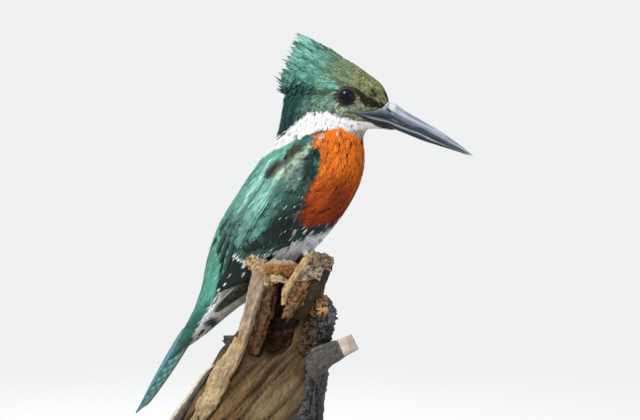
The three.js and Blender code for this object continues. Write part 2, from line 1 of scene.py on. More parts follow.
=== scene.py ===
import bpy
import numpy as np
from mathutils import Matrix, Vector


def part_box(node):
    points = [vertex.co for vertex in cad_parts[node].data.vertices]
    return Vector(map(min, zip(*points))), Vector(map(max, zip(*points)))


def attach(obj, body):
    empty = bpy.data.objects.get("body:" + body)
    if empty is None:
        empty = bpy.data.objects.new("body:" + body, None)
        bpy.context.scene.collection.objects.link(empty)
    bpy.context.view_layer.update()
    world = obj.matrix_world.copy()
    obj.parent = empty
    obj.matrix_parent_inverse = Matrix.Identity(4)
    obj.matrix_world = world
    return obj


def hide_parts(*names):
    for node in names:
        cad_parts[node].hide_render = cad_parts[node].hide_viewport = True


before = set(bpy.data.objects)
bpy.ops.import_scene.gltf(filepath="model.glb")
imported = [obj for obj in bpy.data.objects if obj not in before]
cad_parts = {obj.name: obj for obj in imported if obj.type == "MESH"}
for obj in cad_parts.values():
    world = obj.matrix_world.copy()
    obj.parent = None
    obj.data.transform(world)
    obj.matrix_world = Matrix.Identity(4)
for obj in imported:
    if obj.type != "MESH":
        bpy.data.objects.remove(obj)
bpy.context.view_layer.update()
rng = np.random.default_rng(7)


# ---- Skin ------------------------------------------------------------------------------------------
# The bird's skin, from the bill's base to the root of the tail, with the folded wings lying against it.
# One closed shell: it stands for every node of flesh and lies inside them by the depth of the plumage.

# Stations from the bill to the tail: back line x, z; belly line x, z; half width.
BODY_STATIONS = np.array([
    [80.5, 248.3, 77, 231, 5.6],        # bill base
    [76, 257.2, 71.5, 230.4, 9.4],      # lores
    [66, 265, 67.8, 229.8, 11.6],       # brow
    [53, 273, 66, 228.4, 12.9],         # crown
    [33, 279, 65, 226.6, 14],           # back of skull
    [17, 263.5, 64.4, 224.4, 14.9],     # top of nape
    [14, 243, 64.4, 220.5, 16.6],       # nape
    [9.6, 224, 65, 213.8, 20],          # collar
    [-2.8, 207.5, 64, 203, 22.4],       # shoulder
    [-15, 190, 59, 189.5, 22.8],        # middle back
    [-27.5, 170, 48, 172.5, 22],        # waist
    [-34.8, 150, 31, 153.5, 19.6],      # flank
    [-39.3, 129.5, 4, 132, 15.4],       # vent
    [-46.2, 113, -18, 117, 11.6],       # rump
    [-53, 100.5, -37, 101.5, 7.8],      # tail coverts
    [-57, 92.5, -49.5, 92.5, 4.6],      # end of coverts
])
BODY_FULLNESS = 0.86
SKIN_ROWS = 210
SKIN_COLUMNS = 140


def smooth_line(values, t):
    """Smooth line through evenly spaced values, at t from 0 to 1: a cubic between each two, whose slope
    at a value is half the step between its neighbours. Past the ends it runs on straight."""
    spans = len(values) - 1
    held = np.clip(t, 0, 1)
    i = np.minimum((held * spans).astype(int), spans - 1)
    f = held * spans - i
    p0, p1, p2, p3 = (values[np.clip(i + step, 0, spans)] for step in (-1, 0, 1, 2))
    slope1, slope2 = (p2 - p0) / 2, (p3 - p1) / 2
    bend = 3 * (p2 - p1) - 2 * slope1 - slope2
    inside = p1 + f * (slope1 + f * (bend + f * (slope1 + slope2 - 2 * (p2 - p1))))
    end_slope = np.where(t > 1, values[-1] - values[-2], values[1] - values[0])
    return inside + (t - held) * spans * end_slope


def hull(stations, t, angle, grow=0.0):
    """A body drawn as a ship's lines. At t along it: from the middle of the back and belly points, go
    cosine of angle towards the back, and sine of angle (raised to the fullness) out to the side.
    Angle 0 is the back, +-pi the belly, and it is positive on the left side."""
    back_x, back_z, belly_x, belly_z, half_width = (smooth_line(column, t) for column in stations.T)
    middle_x, middle_z = (back_x + belly_x) / 2, (back_z + belly_z) / 2
    to_back_x, to_back_z = back_x - middle_x, back_z - middle_z
    reach = np.maximum(np.hypot(to_back_x, to_back_z), 0.3)
    stretch = np.maximum(reach + grow, 0.15) / reach
    across = np.sin(angle)
    side = np.sign(across) * np.abs(across) ** BODY_FULLNESS * np.maximum(half_width + grow, 0.8)
    x = middle_x + to_back_x * stretch * np.cos(angle)
    z = middle_z + to_back_z * stretch * np.cos(angle)
    return np.stack([x, side, z], -1)


def ramp(value, start, end):
    """0 before start, 1 after end, and an S-curve between. Start may lie above end."""
    f = np.clip((value - start) / (end - start), 0, 1)
    return f * f * (3 - 2 * f)


def cloud(points, size, seed=0):
    """Soft random field from -1 to 1: random values on a cubic lattice of that spacing, mixed by
    S-curves between the eight corners round a point."""
    place = np.asarray(points, float) / size + 100.37
    cell = np.floor(place).astype(np.int64)
    f = place - cell
    f = f * f * (3 - 2 * f)
    total = np.zeros(place.shape[:-1])
    for dx in (0, 1):
        for dy in (0, 1):
            for dz in (0, 1):
                corner = cell + (dx, dy, dz)
                mixed = corner[..., 0] * 73856093 ^ corner[..., 1] * 19349663 ^ corner[..., 2] * 83492791
                mixed = (mixed ^ (seed * 2654435761)) & 0xFFFFFFFF
                mixed = ((mixed ^ (mixed >> 15)) * 2246822519) & 0xFFFFFFFF
                mixed = ((mixed ^ (mixed >> 13)) * 3266489917) & 0xFFFFFFFF
                value = (mixed ^ (mixed >> 16)) / 0xFFFFFFFF * 2 - 1
                weight = np.where([dx, dy, dz], f, 1 - f).prod(-1)
                total += weight * value
    return total


def mix(under, over, amount):
    """Colours `under` covered by colour `over` by the amount, 0 to 1, point by point."""
    return under + (np.asarray(over, float) - under) * np.asarray(amount)[..., None]


def all_over(colour, values):
    """One colour at every place of an array of values."""
    return np.tile(colour, np.shape(values) + (1,))


def painted(colours, coats):
    """The colours under coats of paint laid in turn, each a colour and the amount that it covers."""
    for colour, amount in coats:
        colours = mix(colours, colour, amount)
    return colours


# The folded wing's outline in x, z, from the shoulder round the front edge to the tip and up the back.
WING_OUTLINE = np.array([
    [18, 216.5], [30, 223], [39, 222.5], [42.4, 215], [41.4, 206], [37.8, 195], [34.2, 183], [30.8, 170.5],
    [24, 159], [13.6, 150], [5, 141.5], [-3.6, 132], [-15, 122.8], [-28, 113.4], [-29.4, 116], [-27.5, 128],
    [-25.4, 141], [-23.4, 152], [-18.5, 164], [-11, 176], [-1, 190], [9, 204],
])
WING_RISE = 1.9
WING_EDGE = 5.0


def closed_curve(corners, count):
    """Smooth closed line through the corners: the same cubic as smooth_line, run round the ring."""
    ring = np.vstack([corners[-2:], corners, corners[:3]])
    t = (2 + np.arange(count) * len(corners) / count) / (len(ring) - 1)
    return np.stack([smooth_line(column, t) for column in ring.T], -1)


def inside_depth(x, z, ring):
    """Distance in from a closed line of points, and minus the distance outside it: the nearest of its
    segments, with the sign from how often a level ray crosses the line."""
    place = np.stack([x, z], -1).reshape(-1, 2)
    nearest = np.full(len(place), 1e9)
    crossings = np.zeros(len(place), int)
    for start, end in zip(ring, np.roll(ring, -1, 0)):
        span = end - start
        f = np.clip((place - start) @ span / (span @ span), 0, 1)
        nearest = np.minimum(nearest, np.hypot(*(place - start - f[:, None] * span).T))
        spans_height = (start[1] > place[:, 1]) != (end[1] > place[:, 1])
        rise = np.where(end[1] == start[1], 1e-9, end[1] - start[1])
        crossings += spans_height & (place[:, 0] < start[0] + (place[:, 1] - start[1]) * span[0] / rise)
    return np.where(crossings % 2 == 1, nearest, -nearest).reshape(np.shape(x))


WING_RING = closed_curve(WING_OUTLINE, 48)


def body_surface(t, angle, grow=0.0):
    """The hull, raised where the folded wing lies against it by an S-curve in from the wing's edge."""
    bare = hull(BODY_STATIONS, t, angle)
    rise = WING_RISE * ramp(inside_depth(bare[..., 0], bare[..., 2], WING_RING), -0.5, WING_EDGE)
    return hull(BODY_STATIONS, t, angle, rise + grow)


def coat_depth(t):
    """How deep the plumage is at t: thin on the face, deep on the neck, breast and belly."""
    return np.interp(t, [0, 0.12, 0.25, 0.45, 0.8, 1], [0.5, 0.8, 1.5, 2.4, 2.4, 1.6])


# Plumage colours, as linear red, green, blue.
CREST_GREEN = (0.085, 0.25, 0.195)
OLIVE = (0.145, 0.19, 0.10)
BROW_OLIVE = (0.185, 0.195, 0.088)
NAPE_GREEN = (0.017, 0.058, 0.055)
CHEEK_GREEN = (0.125, 0.22, 0.155)
EYE_STREAK_GREEN = (0.115, 0.32, 0.26)
LORE_BLACK = (0.01, 0.01, 0.008)
LORE_GREY = (0.21, 0.23, 0.16)
MALAR_OLIVE = (0.21, 0.215, 0.12)
CHEEK_OLIVE = (0.30, 0.35, 0.21)
NECK_SHADE = (0.10, 0.16, 0.12)
EYE_RING_DARK = (0.06, 0.06, 0.04)
COLLAR_WHITE = (0.90, 0.885, 0.87)
BREAST_ORANGE = (0.90, 0.20, 0.02)
# The breast's rufous is partly painted shade, and the two darker breast colours after it are painted shade.
BREAST_RUFOUS_AND_SHADE = (0.41, 0.06, 0.007)
BREAST_SHADE = (0.17, 0.03, 0.006)
FAR_BREAST_SHADE = (0.50, 0.12, 0.03)
THROAT_SHADE = (0.36, 0.37, 0.38)
THROAT_DARK = (0.07, 0.09, 0.08)
COLLAR_EDGE_GREEN = (0.03, 0.09, 0.07)
BAND_DARK = (0.02, 0.045, 0.05)
BELLY_WHITE = (0.86, 0.88, 0.90)
BACK_GREEN = (0.13, 0.38, 0.28)
RUMP_GREEN = (0.10, 0.37, 0.28)
COVERT_GREEN = (0.035, 0.12, 0.10)
VENT_GREY = (0.72, 0.70, 0.65)
VENT_EDGE_WHITE = (0.86, 0.87, 0.88)
VENT_DAPPLE = (0.04, 0.05, 0.045)
VENT_GREEN = (0.03, 0.07, 0.06)
BARE_HORN = (0.05, 0.055, 0.065)

# The markings are laid out on a plane turned 15 degrees forward of the bird's side, the same on both
# sides: "out" is the distance forward on that plane, and z the height.
MARK_TURN = np.radians(15)
CHIN_START = 57
COLLAR_TOP = ([4, 13, 23.6, 28.5, 39, 45.3, 51.5, 57], [222, 227.3, 236.6, 240.6, 241.2, 239.4, 236.8, 235.2])
COLLAR_FOOT = (
    [2.5, 11.2, 20.5, 27, 34, 42.2, 48.4, 52, 56, 60, 64],
    [213.7, 218.9, 223.6, 226.6, 229.4, 230.6, 232, 229.8, 227.4, 225.0, 222.4],
)
CHIN_TOP = ([57, 60, 65, 70, 76, 80], [234.8, 234, 234.2, 232.8, 231.2, 230.4])
BREAST_SIDE = (
    [168, 172, 178.4, 185.8, 192, 198.2, 204, 212, 220, 223, 225, 227],
    [26.6, 27.6, 29.2, 31, 32.6, 34, 36.2, 37.6, 37.6, 36.6, 33.5, 31],
)
BREAST_FOOT = ([25, 31, 37.2, 42.2, 46, 49], [167.8, 170.9, 171.8, 171, 173.4, 177])
BILL_WINDOW_TOP = ([54.6, 63.9, 71.3, 76, 79.5, 83], [240.9, 241.1, 241.6, 242.4, 245.2, 248])
BILL_WINDOW_FOOT = ([54.6, 60.8, 64.5, 71.9, 80.6], [240.9, 238.2, 235.4, 231.5, 228.6])


def outward(points):
    """Distance forward on the plane of the markings."""
    return points[..., 0] * np.cos(MARK_TURN) - np.abs(points[..., 1]) * np.sin(MARK_TURN)


def collar_top(out):
    """Height of the collar's upper edge, which is the chin's under the bill."""
    return np.where(out > CHIN_START, np.interp(out, *CHIN_TOP), np.interp(out, *COLLAR_TOP))


def in_bill_window(out, z, start):
    """True from that distance forward between the two lines where the plumage leaves the bill bare."""
    return (z < np.interp(out, *BILL_WINDOW_TOP)) & (z > np.interp(out, *BILL_WINDOW_FOOT)) & (out > start)


def blot(out, z, centre, radii, lean=0.0):
    """A soft oval mark: 1 at its centre, 0 from its rim on, leaning by the given degrees."""
    turn = np.radians(lean)
    along = (out - centre[0]) * np.cos(turn) + (z - centre[1]) * np.sin(turn)
    across = (z - centre[1]) * np.cos(turn) - (out - centre[0]) * np.sin(turn)
    return ramp(np.hypot(along / radii[0], across / radii[1]), 1, 0.35)


def stripe(out, z, places, half_width):
    """A soft stripe along a bent line: 1 on the line, 0 beyond its half width."""
    points = np.asarray(places, float)
    nearest = np.full(np.shape(out), 1e9)
    for start, end in zip(points, points[1:]):
        span = end - start
        f = np.clip(((out - start[0]) * span[0] + (z - start[1]) * span[1]) / (span @ span), 0, 1)
        nearest = np.minimum(nearest, np.hypot(out - start[0] - f * span[0], z - start[1] - f * span[1]))
    return ramp(nearest, half_width, half_width * 0.4)


def head_colours(out, z, grain):
    """Green crest and nape, olive crown and face, black lores with a pale patch under them."""
    colours = painted(all_over(CREST_GREEN, out), [
        (OLIVE, ramp(out + 4 * grain - 0.35 * (z - 262), 29, 51)),
        (BROW_OLIVE, ramp(out, 54, 60)),
        (CHEEK_GREEN, ramp(z, 255, 249) * ramp(out, 22, 34) * ramp(out, 58, 52)),
        (NAPE_GREEN, ramp(z + 2 * grain, 263, 255) * ramp(out - 0.3 * (z - 240), 32, 20)),
        (NAPE_GREEN, 0.75 * blot(out, z, (34, 252.4), (14, 2.8), 8)),
        (EYE_STREAK_GREEN, 0.9 * blot(out, z, (42, 257.5), (12, 3.4), -22)),
        (NECK_SHADE, 0.6 * blot(out, z, (28, 243), (10, 3), 10)),
        (CHEEK_OLIVE, 0.7 * blot(out, z, (48.5, 243.5), (7, 4))),
        (MALAR_OLIVE, blot(out, z, (58, 237.2), (10, 4.6), -18)),
        (LORE_GREY, 0.9 * blot(out, z, (61.5, 244.6), (6.2, 4.2), -10)),
    ])
    lore = stripe(out, z, [(55, 254.4), (59.5, 252.2), (64.5, 247.6), (70, 244.8)], 2.3)
    lore = np.maximum(lore, blot(out, z, (66, 246.4), (6.6, 4.4), -20))
    lore = np.maximum(lore, 0.42 * blot(out, z, (68.6, 251.6), (4.2, 5)))
    lore = np.maximum(lore, 0.6 * blot(out, z, (72.5, 244.6), (4.6, 2.6), -10))
    colours = colours * (1 + 0.45 * grain * ramp(out, 40, 50))[..., None]
    return painted(colours, [
        (LORE_BLACK, np.clip(lore * (1.8 + 1.4 * grain), 0, 1)),
        (EYE_RING_DARK, 0.75 * ramp(np.hypot(out - 52, z - 249.7), 7.4, 6.2)),
        (LORE_BLACK, stripe(out, z, [(76.4, 251.6), (81.6, 245.6)], 2.2)),
    ])


def pale_below(z):
    """How far forward, at each height, the white and grey of the underside begins behind the legs."""
    return np.interp(z, [90, 104, 123.8, 150, 172], [-50, -40.3, -27.5, -16, 5])


def markings(points):
    """The plumage's colour at points on the body: the head above the collar, and below it the orange
    breast in front, the streaked band and white belly under that, and green everywhere behind."""
    x, y, z = np.moveaxis(points, -1, 0)
    ragged = cloud(points, 2.2, 3)
    grain = cloud(points, 0.9, 4)
    out = outward(points) + 0.8 * ragged
    height = z + 0.7 * cloud(points, 2.0, 5)

    lower_flank = ramp(height + 3 * cloud(points, 5, 9), 130, 112) * ramp(x - (z - 112) * 0.7, -51, -42)
    colours = painted(all_over(BACK_GREEN, x), [
        (RUMP_GREEN, ramp(height, 150, 130)),
        (COVERT_GREEN, 0.85 * ramp(out, 17, 24) * ramp(z, 150, 158)),
        (COVERT_GREEN, 0.9 * lower_flank),
    ])

    # The underside, from the flanks to the tail's lower coverts: grey, with a white line along its edge.
    forward = x + 0.6 * ragged - pale_below(z)
    under = ramp(forward, -0.6, 0.8) * (z < 172)
    vent = painted(all_over(VENT_GREY, x), [
        (VENT_EDGE_WHITE, ramp(forward, 5, 2) * ramp(z, 103, 107) * ramp(z, 132, 126)),
        (VENT_DAPPLE, ramp(cloud(points, 2.4, 8), 0.05, 0.3) * ramp(z, 110, 106)),
        (VENT_GREEN, blot(x, z, (-30.4, 110), (6, 3.8), 40)),
    ])
    belly = ramp(out, 22, 25.5) * ramp(height, 180, 176)
    band = ramp(height - 0.4 * (out - 24), 159, 162.5) * ramp(height, 182, 179) * ramp(out, 20, 23)
    band = band * ramp(out, 49, 46) * ramp(cloud(points * (1, 1, 0.35), 1.6, 6), -0.8, -0.3)

    # The breast: orange under the collar, rufous lower down, which is partly painted shade, and painted shade
    # down its middle, at its foot and on its far side.
    orange = ramp(out - np.interp(height, *BREAST_SIDE), -0.6, 0.6)
    orange = orange * ramp(height - np.interp(out, *BREAST_FOOT), -0.8, 0.8)
    breast_with_shade = painted(all_over(BREAST_ORANGE, x), [
        (BREAST_RUFOUS_AND_SHADE, ramp(height + 3 * ragged - 0.3 * (out - 40), 216, 186)),
        (BREAST_SHADE, 0.65 * blot(out, z, (51, 188), (9, 24), 12)),
        (BREAST_SHADE, 0.85 * ramp(height, 190, 171)),
        (FAR_BREAST_SHADE, 0.8 * ramp(y, -5, 5) * ramp(z, 196, 206)),
    ])

    # The collar, white with painted shade on the throat under the bill, and over it the head with the bare
    # skin of the bill.
    throat = painted(all_over(COLLAR_WHITE, x), [
        (THROAT_SHADE, ramp(out, 49, 55) * ramp(height, 231.5, 228.5)),
        (THROAT_DARK, 0.8 * ramp(grain, 0.1, 0.5) * stripe(out, z, [(48, 234), (56, 232)], 1.6)),
    ])
    return painted(colours, [
        (vent, under),
        (BELLY_WHITE, np.maximum(belly, under * ramp(height, 142, 150))),
        (BAND_DARK, band),
        (breast_with_shade, orange * ramp(height, 150, 160)),
        (COLLAR_EDGE_GREEN, 0.9 * stripe(out, height, [(27, 226.6), (34, 228.6), (39, 229.6)], 1.5)),
        (throat, ramp(height - np.interp(out, *COLLAR_FOOT), -0.5, 0.5)),
        (head_colours(out, z + 0.3 * grain, grain), ramp(height - collar_top(out), -0.5, 0.5)),
        (BARE_HORN, in_bill_window(out, z, 56)),
    ])


def make_piece(name, points, face_sets, material, slot, tint=None, bake=None, normals=None):
    """Puts arrays into a mesh: points in millimetres, sets of faces with equal corner counts, a colour for
    each point in the attribute "tint", and a place for each point or face corner in the map OFBake."""
    points = np.reshape(points, (-1, 3))
    mesh = bpy.data.meshes.new(name)
    mesh.vertices.add(len(points))
    mesh.vertices.foreach_set("co", (points / 1000).astype(np.float32).ravel())
    corners = np.concatenate([faces.ravel() for faces in face_sets]).astype(np.int32)
    sizes = np.concatenate([np.full(len(faces), faces.shape[1]) for faces in face_sets])
    mesh.loops.add(len(corners))
    mesh.loops.foreach_set("vertex_index", corners)
    mesh.polygons.add(len(sizes))
    mesh.polygons.foreach_set("loop_start", (np.cumsum(sizes) - sizes).astype(np.int32))
    mesh.polygons.foreach_set("use_smooth", np.ones(len(sizes), bool))
    if tint is not None:
        colour = np.ones((len(points), 4), np.float32)
        colour[:, :3] = np.clip(np.reshape(tint, (-1, 3)), 0, 1)
        mesh.color_attributes.new("tint", "FLOAT_COLOR", "POINT").data.foreach_set("color", colour.ravel())
    if bake is not None:
        placed = bake if len(bake) == len(corners) else bake[corners]
        mesh.uv_layers.new(name="OFBake").data.foreach_set("uv", np.asarray(placed, np.float32).ravel())
    mesh.update(calc_edges=True)
    if normals is not None:
        mesh.normals_split_custom_set_from_vertices(normals.astype(np.float32))
    piece = bpy.data.objects.new(name, mesh)
    bpy.context.scene.collection.objects.link(piece)
    mesh.materials.append(material)
    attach(piece, "root")
    return piece


def grid_faces(rows, columns, wrapped=False, start=0):
    """Quads between rows of points; wrapped grids join the last column to the first."""
    across = columns if wrapped else columns - 1
    row, column = np.meshgrid(np.arange(rows - 1), np.arange(across), indexing="ij")
    a = row * columns + column
    b = row * columns + (column + 1) % columns
    return start + np.stack([a, b, b + columns, a + columns], -1).reshape(-1, 4)


def cap_faces(ring, flip=False):
    """A fan of triangles that closes a ring of point numbers."""
    faces = np.stack([np.full(len(ring) - 2, ring[0]), ring[1:-1], ring[2:]], -1)
    return faces[:, ::-1] if flip else faces


def tube_faces(rows, columns, flip=False):
    """Both sets of faces of a closed tube of rings: the quads round it and the two fans at its ends."""
    last = (rows - 1) * columns
    ends = np.concatenate([cap_faces(np.arange(columns), flip=True), cap_faces(np.arange(columns) + last)])
    sets = [grid_faces(rows, columns, wrapped=True), ends]
    return [faces[:, ::-1] for faces in sets] if flip else sets


def grained_finish(name, scale, roughness, lift, shade=(0.74, 1.24), detail=4, strength=0.5,
                   stretch=(1, 1, 1), lean=0.0, colour=None, **sockets):
    """A finish whose colour is the points' tint (or one colour), scaled up and down by soft noise of that
    scale, drawn out by the stretch and leaned by the degrees. The same noise moves the gloss and bump."""
    material = bpy.data.materials.new(name)
    material.use_nodes = True
    nodes, links = material.node_tree.nodes, material.node_tree.links
    shader = nodes["Principled BSDF"]
    for socket, setting in sockets.items():
        shader.inputs[socket.replace("_", " ")].default_value = setting
    place = nodes.new("ShaderNodeTexCoord")
    laid = nodes.new("ShaderNodeMapping")
    laid.vector_type = "TEXTURE"
    laid.inputs["Rotation"].default_value = (0, np.radians(lean), 0)
    laid.inputs["Scale"].default_value = stretch
    links.new(place.outputs["Object"], laid.inputs["Vector"])
    grain = nodes.new("ShaderNodeTexNoise")
    grain.inputs["Scale"].default_value = scale
    grain.inputs["Detail"].default_value = detail
    links.new(laid.outputs["Vector"], grain.inputs["Vector"])
    coloured = nodes.new("ShaderNodeVectorMath")
    coloured.operation = "SCALE"
    if colour is None:
        tint = nodes.new("ShaderNodeAttribute")
        tint.attribute_name = "tint"
        links.new(tint.outputs["Color"], coloured.inputs["Vector"])
    else:
        coloured.inputs["Vector"].default_value = colour
    links.new(coloured.outputs["Vector"], shader.inputs["Base Color"])
    gloss = (roughness - 0.1, roughness + 0.12)
    for (low, high), target in ((shade, coloured.inputs["Scale"]), (gloss, shader.inputs["Roughness"])):
        spread = nodes.new("ShaderNodeMapRange")
        spread.inputs["From Min"].default_value = 0.3
        spread.inputs["From Max"].default_value = 0.7
        spread.inputs["To Min"].default_value = low
        spread.inputs["To Max"].default_value = high
        links.new(grain.outputs["Fac"], spread.inputs["Value"])
        links.new(spread.outputs["Result"], target)
    bump = nodes.new("ShaderNodeBump")
    bump.inputs["Strength"].default_value = strength
    bump.inputs["Distance"].default_value = lift
    links.new(grain.outputs["Fac"], bump.inputs["Height"])
    links.new(bump.outputs["Normal"], shader.inputs["Normal"])
    return material


def feather_finish(name, scale, roughness, shade=(0.68, 1.28), specular=0.13):
    """Feather: clouded at the scale of its barbs, satin, with a little sheen from its nap."""
    return grained_finish(name, scale, roughness, 0.0002, shade, Sheen_Weight=0.02, Sheen_Roughness=0.5,
                          Specular_IOR_Level=specular)


SKIN_FINISH = feather_finish("skin_and_down", 900, 0.7)

t_grid, angle_grid = np.meshgrid(
    np.linspace(0, 1, SKIN_ROWS), np.linspace(-np.pi, np.pi, SKIN_COLUMNS, endpoint=False), indexing="ij"
)
skin_points = body_surface(t_grid, angle_grid, -coat_depth(t_grid)).reshape(-1, 3)
skin_faces, skin_ends = tube_faces(SKIN_ROWS, SKIN_COLUMNS, flip=True)
corner_row, corner_column = np.divmod(np.concatenate([skin_faces.ravel(), skin_ends.ravel()]), SKIN_COLUMNS)
# Corners of the faces that close the ring lie one column past the last in the map, not back at the first.
in_last_column = (skin_faces % SKIN_COLUMNS).max(1, keepdims=True) == SKIN_COLUMNS - 1
wraps = in_last_column & (skin_faces % SKIN_COLUMNS == 0)
corner_column = corner_column + SKIN_COLUMNS * np.concatenate([wraps.ravel(), np.zeros(skin_ends.size, bool)])
skin_map = np.stack([corner_row / (SKIN_ROWS - 1), corner_column / SKIN_COLUMNS], -1) * 0.996 + 0.002
skin = make_piece(
    "skin", skin_points, [skin_faces, skin_ends], SKIN_FINISH, "trunk_plumage",
    tint=markings(skin_points) * 0.6, bake=skin_map,
)
TRACTS = ("coverts", "secondaries", "primaries")
WINGS = [f"wing_{side}_{tract}" for side in ("left", "right") for tract in TRACTS]
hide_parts("head", "crest", "neck", "trunk", "rump", *WINGS)


# ---- Contour feathers ------------------------------------------------------------------------------
# The plumage that gives the bird its outline. Each feather is a fan of soft barbs on a short shaft:
# narrow blades with a low ridge, rooted in the skin, overlapping like tiles from the bill to the tail.

BLADE_STATIONS = np.array([0, 0.3, 0.6, 0.85, 1])
BLADE_WIDTHS = np.array([0.5, 0.9, 1.0, 0.72, 0])
BLADE_RIDGE = 0.16
# Cells each way that roots are scattered over, and the width of a blade's patch in the map.
CELLS = 420
PATCH = 0.003


def unit(vectors):
    return vectors / np.maximum(np.linalg.norm(vectors, axis=-1, keepdims=True), 1e-9)


def dot(a, b):
    return (a * b).sum(-1)


def surface_frame(surface, t, angle, grow):
    """A place on a surface with its two slopes, and three unit directions: along it towards the tail,
    across it towards greater angles, and out of it."""
    here = surface(t, angle, grow)
    by_t = (surface(t + 0.003, angle, grow) - here) / 0.003
    by_angle = (surface(t, angle + 0.02, grow) - here) / 0.02
    along = unit(by_t)
    sheer = by_angle - dot(by_angle, along)[:, None] * along
    across = unit(sheer)
    return here, by_t, by_angle, sheer, along, across, np.cross(across, along)


def walk(frame_here, t, angle, forward, sideways):
    """Where t and angle come to after a step over the surface, given along its two directions."""
    _, by_t, by_angle, sheer, along, _, _ = frame_here
    angle_step = sideways / np.maximum(np.linalg.norm(sheer, axis=-1), 0.3)
    t_step = (forward - dot(by_angle, along) * angle_step) / np.maximum(np.linalg.norm(by_t, axis=-1), 3.0)
    return t + t_step, angle + angle_step


def lay_blades(surface, t, angle, heading, length, width, low, high, sleek):
    """Blades walked over a surface from their roots. The heading turns them from the tail towards the
    belly; their height goes from low to high on a curve. Each station has a left edge, a ridge and a
    right edge, and all meet at the tip. Also gives soft normals, which lean out to the edges by the
    sleek number."""
    turn = heading * np.where(angle < 0, -1.0, 1.0)
    points, normals = [], []
    for number, station in enumerate(BLADE_STATIONS):
        grow = low + (high - low) * station ** 0.7
        placed = surface_frame(surface, t, angle, grow)
        here, _, _, _, along, across, out = placed
        way = np.cos(turn)[:, None] * along + np.sin(turn)[:, None] * across
        side = np.cross(out, way)
        half = (width / 2 * BLADE_WIDTHS[number])[:, None]
        if number < len(BLADE_STATIONS) - 1:
            points += [here + side * half, here + out * half * 2 * BLADE_RIDGE, here - side * half]
            normals += [unit(out + sleek * side), out, unit(out - sleek * side)]
            step = length * (BLADE_STATIONS[number + 1] - station)
            t, angle = walk(placed, t, angle, step * np.cos(turn), step * np.sin(turn))
        else:
            points.append(here)
            normals.append(out)
    return np.stack(points, 1), np.stack(normals, 1)


def blade_faces():
    """The faces of one blade: three sides between stations, a closed root and a tip of three triangles."""
    faces = [(0, 1, 2)]
    for ring in range(0, 9, 3):
        for a, b in ((0, 1), (1, 2), (2, 0)):
            faces += [(ring + a, ring + 3 + a, ring + b), (ring + b, ring + 3 + a, ring + 3 + b)]
    faces += [(9, 12, 10), (10, 12, 11), (11, 12, 9)]
    return np.array(faces)[:, ::-1]


BLADE_FACES = blade_faces()
BLADE_ALONG = np.append(np.repeat(BLADE_STATIONS[:4], 3), 1) + np.append(np.tile([0, 0.04, 0], 4), 0)
BLADE_ACROSS = np.append(np.tile([0, 0.5, 1], 4), 0.5)


def fan_out(surface, t, angle, heading, length, width, barbs, low, high, ragged, sleek=0.45):
    """Feathers as fans of blades: the blades' roots stand side by side over a third of the width, and
    their headings spread so that the tips fill it; the outer ones are shorter, for a rounded end. The
    sizes are plain numbers, or one for each feather."""
    count = len(t)
    sizes = (heading, length, width, low, high)
    heading, length, width, low, high = (np.broadcast_to(np.asarray(size, float), count) for size in sizes)
    spread = np.linspace(-1, 1, barbs)[None] + rng.uniform(-0.5, 0.5, (count, barbs)) / barbs
    sign = np.where(angle < 0, -1.0, 1.0)[:, None]
    placed = surface_frame(surface, t, angle, low)
    shift = spread * (0.3 * width / 2)[:, None]
    many = [np.repeat(part, barbs, axis=0) for part in placed]
    across_shift = (shift * np.cos(heading)[:, None] * sign).ravel()
    along_shift = (-shift * np.sin(heading)[:, None]).ravel()
    root_t, root_angle = walk(many, np.repeat(t, barbs), np.repeat(angle, barbs), along_shift, across_shift)
    turn = heading[:, None] + np.arctan2(spread * (0.7 * width / 2)[:, None], length[:, None])
    turn = turn + rng.normal(0, 0.05, turn.shape)
    long = length[:, None] * (1 - 0.26 * spread**2) * (1 + ragged * rng.normal(0, 1, turn.shape))
    tall = high[:, None] - 0.2 * spread**2 + rng.normal(0, 0.06, turn.shape)
    wide = np.repeat(1.55 * width / barbs, barbs)
    blades, normals = lay_blades(
        surface, root_t, root_angle, turn.ravel(), long.ravel(), wide, np.repeat(low, barbs), tall.ravel(),
        sleek,
    )
    return blades, normals, root_t, root_angle


def scatter(surface, density, t_range):
    """Roots spread evenly over a surface. Its cells are passed in order, the wanted number of feathers
    is added up, and one is set in each cell where the sum passes a whole number."""
    t_edge = np.linspace(*t_range, CELLS)
    t, angle = np.meshgrid(t_edge, np.linspace(-np.pi, np.pi, CELLS, endpoint=False), indexing="ij")
    t, angle = t.ravel(), angle.ravel()
    here, by_t, by_angle, *_ = surface_frame(surface, t, angle, 0.0)
    area = np.linalg.norm(np.cross(by_t, by_angle), axis=-1) * (t_range[1] - t_range[0]) / CELLS
    area = area * 2 * np.pi / CELLS
    wanted = np.cumsum(area * density(t, angle, here)) + rng.uniform()
    chosen = np.floor(wanted) > np.floor(np.concatenate([[0], wanted[:-1]]))
    t, angle = t[chosen], angle[chosen]
    t = t + rng.uniform(-0.5, 0.5, len(t)) * (t_range[1] - t_range[0]) / CELLS
    angle = angle + rng.uniform(-0.5, 0.5, len(t)) * 2 * np.pi / CELLS
    return t, (angle + np.pi) % (2 * np.pi) - np.pi


